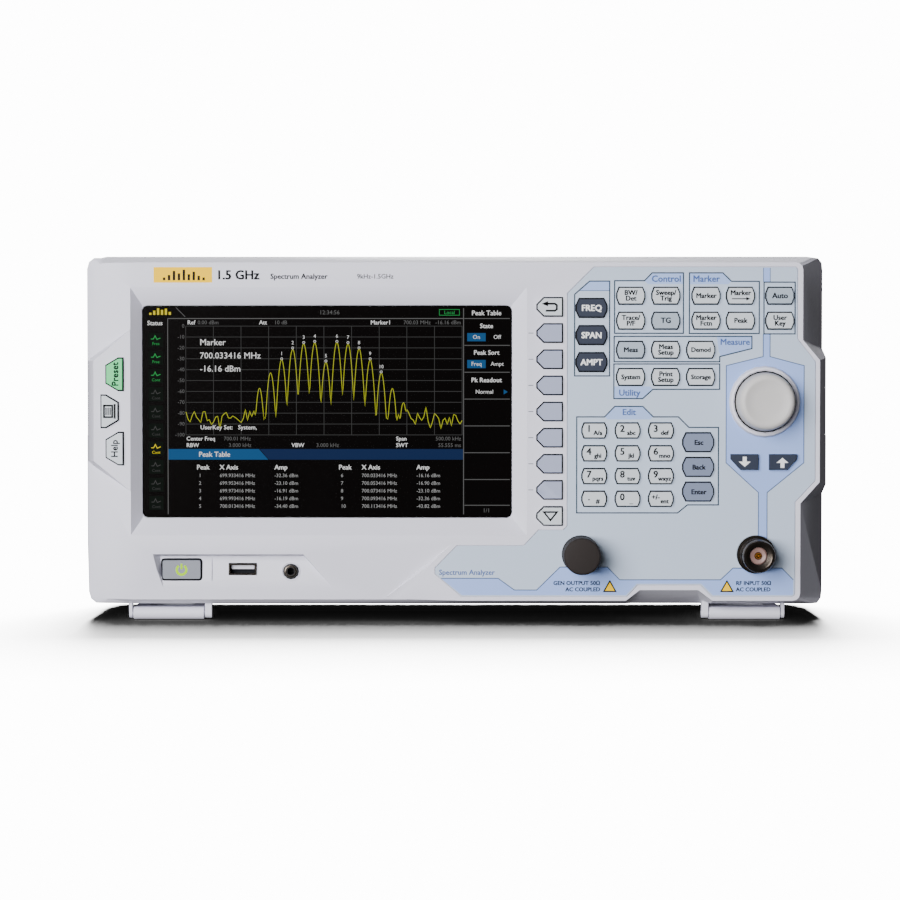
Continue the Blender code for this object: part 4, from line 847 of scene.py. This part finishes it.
def makeDisplay():
    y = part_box("display_window")[0].y - 0.05 * mm
    drawn = {name: [] for name in screenInks}

    def word(text, x, z, size, ink="dotsWhite", align="LEFT", weight=0.0):
        drawn[ink].append(lettering("dots", text, x, z, size, y, align=align, weight=weight, strikes=2))

    def line(points, width, ink, closed=False):
        drawn[ink].append(ribbon("dots", points, width, y, closed=closed))

    def field(outline, ink):
        drawn[ink].append(flatShape("dots", [outline], y + 0.02 * mm))

    # graph
    left, low, right, high = screen["graph"]
    count = screen["divisions"]
    for i in range(count + 1):
        x = left + (right - left) * i / count
        z = low + (high - low) * i / count
        line([(x, low), (x, high)], screen["gridLine"], "dotsDim")
        line([(left, z), (right, z)], screen["gridLine"], "dotsDim")
        word(str(-10 * (count - i)), left - 0.6, z, 2.6, "dotsGrey", "RIGHT")
    for ends in screen["frames"]:
        line(ends, screen["frameLine"], "dotsGrey")
    drawn["dotsTrace"].append(makeTrace(y))
    for i in screen["marked"]:
        x = screen["peakStart"] + screen["peakPitch"] * i
        z = high - (high - low) * screen["peaks"][i] / 100
        word(str(i - 1), x, z + 3.0, 2.4, "dotsWhite", "CENTER")
        line(circleOutline(x, z + 0.5, 0.55, 8), 0.22, "dotsWhite", closed=True)

    # top line and column of states
    for i, height in enumerate(screen["marks"]):
        x = -150.0 + i * 1.9
        field(boxOutline(x, 149.4, x + 1.1, 149.4 + height), "dotsYellow")
    line([(-137.0, 153.0), (-132.4, 148.4)], 0.3, "dotsGrey")
    word("12:34:56", -62.0, 150.5, 2.9, "dotsGrey", "CENTER")
    line(boxOutline(-8.4, 149.2, 1.4, 152.0), 0.25, "dotsGreen", closed=True)
    word("Local", -3.5, 150.5, 2.5, "dotsGreen", "CENTER")
    x, down, end, up = screen["stateBox"]
    for i in range(screen["states"]):
        z = screen["stateTop"] - screen["statePitch"] * i
        ink = screen["stateInks"].get(i, "dotsDim")
        field(boxOutline(x, z + down, end, z + up), "dotsMoss")
        line([(across, z + rise) for across, rise in screen["stateWave"]], 0.4, ink)
        word("Free" if i < 2 else "Cont", (x + end) / 2, z - 1.9, 2.0, ink, "CENTER")

    # readings round the graph
    for text, x, z, size, weight in screen["labels"]:
        word(text, x, z, size, weight=weight)
    for text, x, z, align in screen["values"]:
        word(text, x, z, screen["valueSize"], "dotsGrey", align)

    # table of peaks
    field([(-140.8, 78.7), (-92.0, 78.7), (-96.6, 83.9), (-140.8, 83.9)], "dotsBlue")
    field([(-91.6, 78.7), (3.2, 78.7), (3.2, 83.9), (-96.2, 83.9)], "dotsNavy")
    for start in screen["tableStarts"]:
        for text, offset in screen["tableHeads"]:
            word(text, start + offset, 74.9, 3.3, weight=0.07)
    rows = len(screen["levels"]) // 2
    for i, level in enumerate(screen["levels"]):
        start = screen["tableStarts"][i // rows]
        z = screen["tableTop"] - screen["tablePitch"] * (i % rows)
        size = screen["tableSize"]
        word(str(i + 1), start + 1.0, z, size, "dotsText")
        word(f"{699.933 + 0.02 * i:.3f}416 MHz", start + 11.2, z, size, "dotsText")
        word(level + " dBm", start + 38.0, z, size, "dotsText")

    # menu beside the soft keys
    centre = screen["menuCentre"]
    for text, z, size in screen["menuTitles"]:
        word(text, centre, z, size, align="CENTER", weight=0.06)
    for first, second, z in screen["menuPairs"]:
        field(boxOutline(5.2, z - 2.0, 14.2, z + 2.0), "dotsBlue")
        word(first, 9.7, z, 2.8, align="CENTER")
        word(second, 19.8, z, 2.8, align="CENTER")
    word("Normal", 13.6, 111.8, 2.8, align="CENTER")
    field([(23.0, 110.6), (25.0, 111.8), (23.0, 113.0)], "dotsBlue")
    for z in screen["menuLines"]:
        line([(3.8, z), (26.0, z)], 0.35, "dotsGrey")
    word("1/1", centre, 53.8, 2.8, "dotsGrey", "CENTER")

    for ink, pieces in drawn.items():
        if pieces:
            joined("screen_" + ink, pieces, dots[ink], caseBody, "display_glass")


makeDisplay()
print("stage: display ready")


# knob, connectors and cap

knobSettings = {
    "place": (149.7, 107.1), "steps": 72,
    "profile": [  # radius and mm in front of the bezel
        (0.0, 13.0), (6.0, 13.1), (9.2, 13.4), (10.4, 13.9), (11.2, 14.0), (12.2, 13.7), (13.1, 12.7),
        (13.6, 11.0), (13.9, 8.0), (14.2, 0.8), (11.0, 0.8), (11.0, 9.0), (0.0, 9.0),
    ],
    "gap": [(14.3, 1.9), (15.0, 1.9)], "gapSteps": 64,  # a ring of painted shade in the gap round it
}
capSettings = {
    "place": (60.4, 32.9),
    "profile": [(0.0, 19.0), (6.8, 18.95), (8.2, 18.7), (8.8, 18.1), (9.0, 17.2), (9.0, 5.0), (8.25, 5.0),
                (8.25, 17.4), (0.0, 17.4)],
}


def outFrom(profile):
    return [(radius, front - out) for radius, out in profile]


knob = turnPiece("tuningKnob", outFrom(knobSettings["profile"]), knobSettings["place"], knobSettings["steps"])
keep(paint(knob, paints["knobGrey"]), "tuning_knob", "bezel_plastic", "tuning_knob")
# painted shade: a dark flat ring where the gap round the knob lies in shade
gap = turnPiece("knobGapShade", outFrom(knobSettings["gap"]), knobSettings["place"], knobSettings["gapSteps"])
keep(paint(gap, paints["paintedGapShade"]), caseBody, "dark_key")
cap = turnPiece("generatorCap", outFrom(capSettings["profile"]), capSettings["place"])
keep(paint(cap, paints["capBrown"]), "generator_cap", "black_plastic", "generator_cap")

connector = {
    "places": ((60.4, 32.9), (145.4, 32.9)), "tip": front - 17.0,
    "pitch": 1.06, "crest": 7.95, "root": 7.5,  # mm, thread
}


def makeConnectors():
    tip, crest, root = connector["tip"], connector["crest"], connector["root"]
    thread = []
    y = tip + 1.6
    while y < front - 3.6:
        thread += [(crest, y), (root, y + connector["pitch"] / 2)]
        y += connector["pitch"]
    profile = [(4.3, tip + 8.0), (4.3, tip + 3.0), (6.3, tip + 2.6), (6.3, tip), (7.2, tip), (7.6, tip + 0.5),
               (crest, tip + 1.2)] + thread
    profile += [(root, front - 3.2), (9.0, front - 3.1), (9.3, front - 2.8), (9.3, front - 0.3),
                (6.4, front - 0.3), (6.4, front + 7.0), (0.0, front + 7.0), (0.0, tip + 8.0)]
    shells = [turnPiece("shell", profile, place) for place in connector["places"]]
    shell = joined("connectorShells", shells, paints["nickelDark"], caseBody, "nickel")
    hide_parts("n_connectors")
    place = connector["places"][1]
    ring = turnPiece("insulator", [(1.9, tip + 7.9), (1.9, tip + 4.2), (3.6, tip + 3.6), (4.2, tip + 4.2),
                                   (4.2, tip + 7.9), (1.9, tip + 7.9)], place, steps=32)
    keep(paint(ring, paints["ptfeShadedPink"]), caseBody, "bezel_plastic")
    pin = turnPiece("contact", [(0.0, tip + 7.9), (1.5, tip + 7.9), (1.5, tip + 3.6), (1.2, tip + 3.1),
                                (0.75, tip + 3.1), (0.75, tip + 6.0), (0.0, tip + 6.0)], place, steps=24)
    keep(paint(pin, paints["goldPlate"]), caseBody, "nickel")


makeConnectors()


# front sockets

sockets = {
    "usb": (-104.6, 25.2), "opening": (6.5, 2.6), "shade": (6.05, 2.2),  # mm, half width and half height
    "tongue": (11.2, 9.0, 1.9), "tongueDepth": 12.2, "tongueLift": 0.75,
    "jack": (-81.0, 24.1), "boss": (4.15, 4.65), "sleeve": (1.9, 3.0),  # mm radii
}


def aroundBox(centre, half):
    (x, z), (width, height) = centre, half
    return boxOutline(x - width, z - height, x + width, z + height)


def makeUsb():
    x, z = sockets["usb"]
    width, length, thick = sockets["tongue"]
    place = (x * mm, (front + sockets["tongueDepth"]) * mm, (z + sockets["tongueLift"]) * mm)
    deselectAll()
    bpy.ops.mesh.primitive_cube_add(size=1.0, location=place)
    tongue = bpy.context.object
    tongue.name = "usbTongue"
    tongue.scale = (width * mm, length * mm, thick * mm)
    bpy.context.view_layer.update()
    settle(tongue)
    roundEdges(tongue, 0.25)
    keep(paint(tongue, paints["absLight"]), caseBody, "bezel_plastic")
    # painted shade: a dark rim round the opening and a dark sheet behind the tongue, where the inside of the
    # socket lies in shade
    opening = aroundBox(sockets["usb"], sockets["opening"])
    rim = gasket("usbRimShade", opening, 0.0, 0.4, (front + tray["depth"] - 0.05) * mm)
    back = flatShape("usbShade", [aroundBox(sockets["usb"], sockets["shade"])], (front + 9.5) * mm)
    parts = [lean(rim, tray["slope"], tray["low"]), back]
    joined("usbShade", parts, paints["paintedGapShade"], caseBody, "dark_key")


def makeJack():
    place = sockets["jack"]
    z = place[1]
    level = front + tray["depth"] + tray["slope"] * (z - tray["low"])
    inner, outer = sockets["boss"]
    boss = turnPiece("jackBoss", [(inner, level + 0.5), (inner, level - 0.2), (inner + 0.15, level - 0.35),
                                  (outer - 0.15, level - 0.35), (outer, level - 0.2), (outer, level + 0.5),
                                  (inner, level + 0.5)], place)
    keep(paint(lean(boss, tray["slope"], z), paints["absLight"]), caseBody, "bezel_plastic")
    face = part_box("headphone_jack")[0].y / mm
    inner, outer = sockets["sleeve"]
    sleeve = turnPiece("jackSleeve", [(inner, face + 3.0), (inner, face + 0.2), (inner + 0.3, face - 0.08),
                                      (outer - 0.3, face - 0.08), (outer, face - 0.03), (outer, face + 0.02),
                                      (inner + 0.1, face + 0.02), (inner + 0.1, face + 3.0),
                                      (inner, face + 3.0)], place, steps=40)
    keep(paint(sleeve, paints["nickelDark"]), caseBody, "nickel")


makeUsb()
makeJack()
print("stage: knob, connectors and sockets ready")


# shells, handle, legs and feet

mouldings = {
    # CAD node: finish, mm of edge round and slot
    "front_bezel": ("absLight", 0.35, "bezel_plastic"),
    "rear_housing": ("absCase", 0.6, "case_plastic"),
    "carry_handle": ("absCase", 1.2, "case_plastic"),
    "left_leg": ("absLight", 0.5, "bezel_plastic"),
    "right_leg": ("absLight", 0.5, "bezel_plastic"),
    "rear_foot_left": ("rubberBlack", 0.8, "rubber"),
    "rear_foot_right": ("rubberBlack", 0.8, "rubber"),
}
for node, (finish, width, slot) in mouldings.items():
    piece = roundEdges(copyNode(node, node + "_moulded"), width)
    keep(paint(piece, paints[finish]), node if node in frame["bodies"] else caseBody, slot, node)
print("stage: shells, handle and legs ready")


# camera, light and floor

studio = {
    "cameraPlace": (0.0, -1.345, 0.120), "cameraAim": (-0.0032, -0.045, 0.0836), "fieldOfView": 19.1,
    "objectLights": {  # place and target in m, size, power
        "keyLight": ((-1.0, -1.65, 0.58), (0, 0, 0.08), (1.2, 1.3), 62.0),
        "fillLight": ((-0.6, -1.85, 0.12), (0, 0, 0.09), (1.0, 0.2), 25.0),
        "topLight": ((0.0, 0.42, 1.5), (0, 0, 0.0), (1.1, 0.7), 9.0),
        "backLight": ((0.0, 1.9, 0.7), (0, 0, 0.08), (0.3, 1.0), 22.0),
        "backLeftLight": ((-0.8, 1.6, 0.8), (0, 0, 0.08), (1.2, 1.0), 11.0),
        "backRightLight": ((0.7, 1.7, 0.8), (0, 0, 0.08), (1.2, 1.0), 6.0),
    },
    "floorLights": {  # the near, weak one softens the front edge of the shadow
        "floorLight": ((0.0, 1.1, 1.5), (0, 0, 0.0), (0.8, 1.0), 3000.0),
        "floorNearLight": ((0.0, 0.34, 1.5), (0, 0, 0.0), (0.8, 0.56), 280.0),
    },
    "ambient": 0.05, "backdrop": 14.0,
    "board": {"colour": "#F4F4F4", "roughness": 0.7, "grain": 2.0, "bump": 0.02},
}
bpy.ops.object.camera_add(location=studio["cameraPlace"])
camera = bpy.context.object
aim = Vector(studio["cameraAim"]) - Vector(studio["cameraPlace"])
camera.rotation_euler = aim.to_track_quat("-Z", "Y").to_euler()
camera.data.angle = math.radians(studio["fieldOfView"])
camera.data.clip_start = 0.05
bpy.context.scene.camera = camera


def areaLight(name, place, target, size, power):
    # a soft rectangular lamp turned to its target
    bpy.ops.object.light_add(type="AREA", location=place)
    light = bpy.context.object
    light.name = name
    light.data.shape = "RECTANGLE"
    light.data.size, light.data.size_y = size
    light.data.energy = power
    light.rotation_euler = (Vector(target) - Vector(place)).to_track_quat("-Z", "Y").to_euler()
    return light


objectLights = [areaLight(name, *values) for name, values in studio["objectLights"].items()]
objectLights[1].visible_glossy = False  # the low fill would show as a haze on the display cover
floorLights = [areaLight(name, *values) for name, values in studio["floorLights"].items()]

world = bpy.data.worlds.new("studioWorld")
bpy.context.scene.world = world
world.use_nodes = True
tree = world.node_tree
background = tree.nodes["Background"]
bright = tree.nodes.new("ShaderNodeBackground")  # what only the camera sees
for node, strength in ((background, "ambient"), (bright, "backdrop")):
    node.inputs["Color"].default_value = (1, 1, 1, 1)
    node.inputs["Strength"].default_value = studio[strength]
rays = tree.nodes.new("ShaderNodeLightPath")
mix = tree.nodes.new("ShaderNodeMixShader")
tree.links.new(rays.outputs["Is Camera Ray"], mix.inputs[0])
tree.links.new(background.outputs[0], mix.inputs[1])
tree.links.new(bright.outputs[0], mix.inputs[2])
tree.links.new(mix.outputs[0], tree.nodes["World Output"].inputs["Surface"])

deselectAll()
bpy.ops.mesh.primitive_plane_add(size=8.0, location=(0, 0, 0))
floor = bpy.context.object
floor.name = "paleFloor"
paint(floor, surface("paintedBoard", studio["board"]))  # matt painted board
floor.is_shadow_catcher = True  # the board is as white as the backdrop and only its shadow shows
floor.visible_diffuse = False
floor.visible_glossy = False
# the floor has lights of its own, so its shadow stays dark
for name, state, lights in (("allButFloor", "EXCLUDE", objectLights), ("floorOnly", "INCLUDE", floorLights)):
    receivers = bpy.data.collections.new(name)
    receivers.objects.link(floor)
    receivers.collection_objects[0].light_linking.link_state = state
    for light in lights:
        light.light_linking.receiver_collection = receivers
print("stage: studio ready")

print("stage: finished")
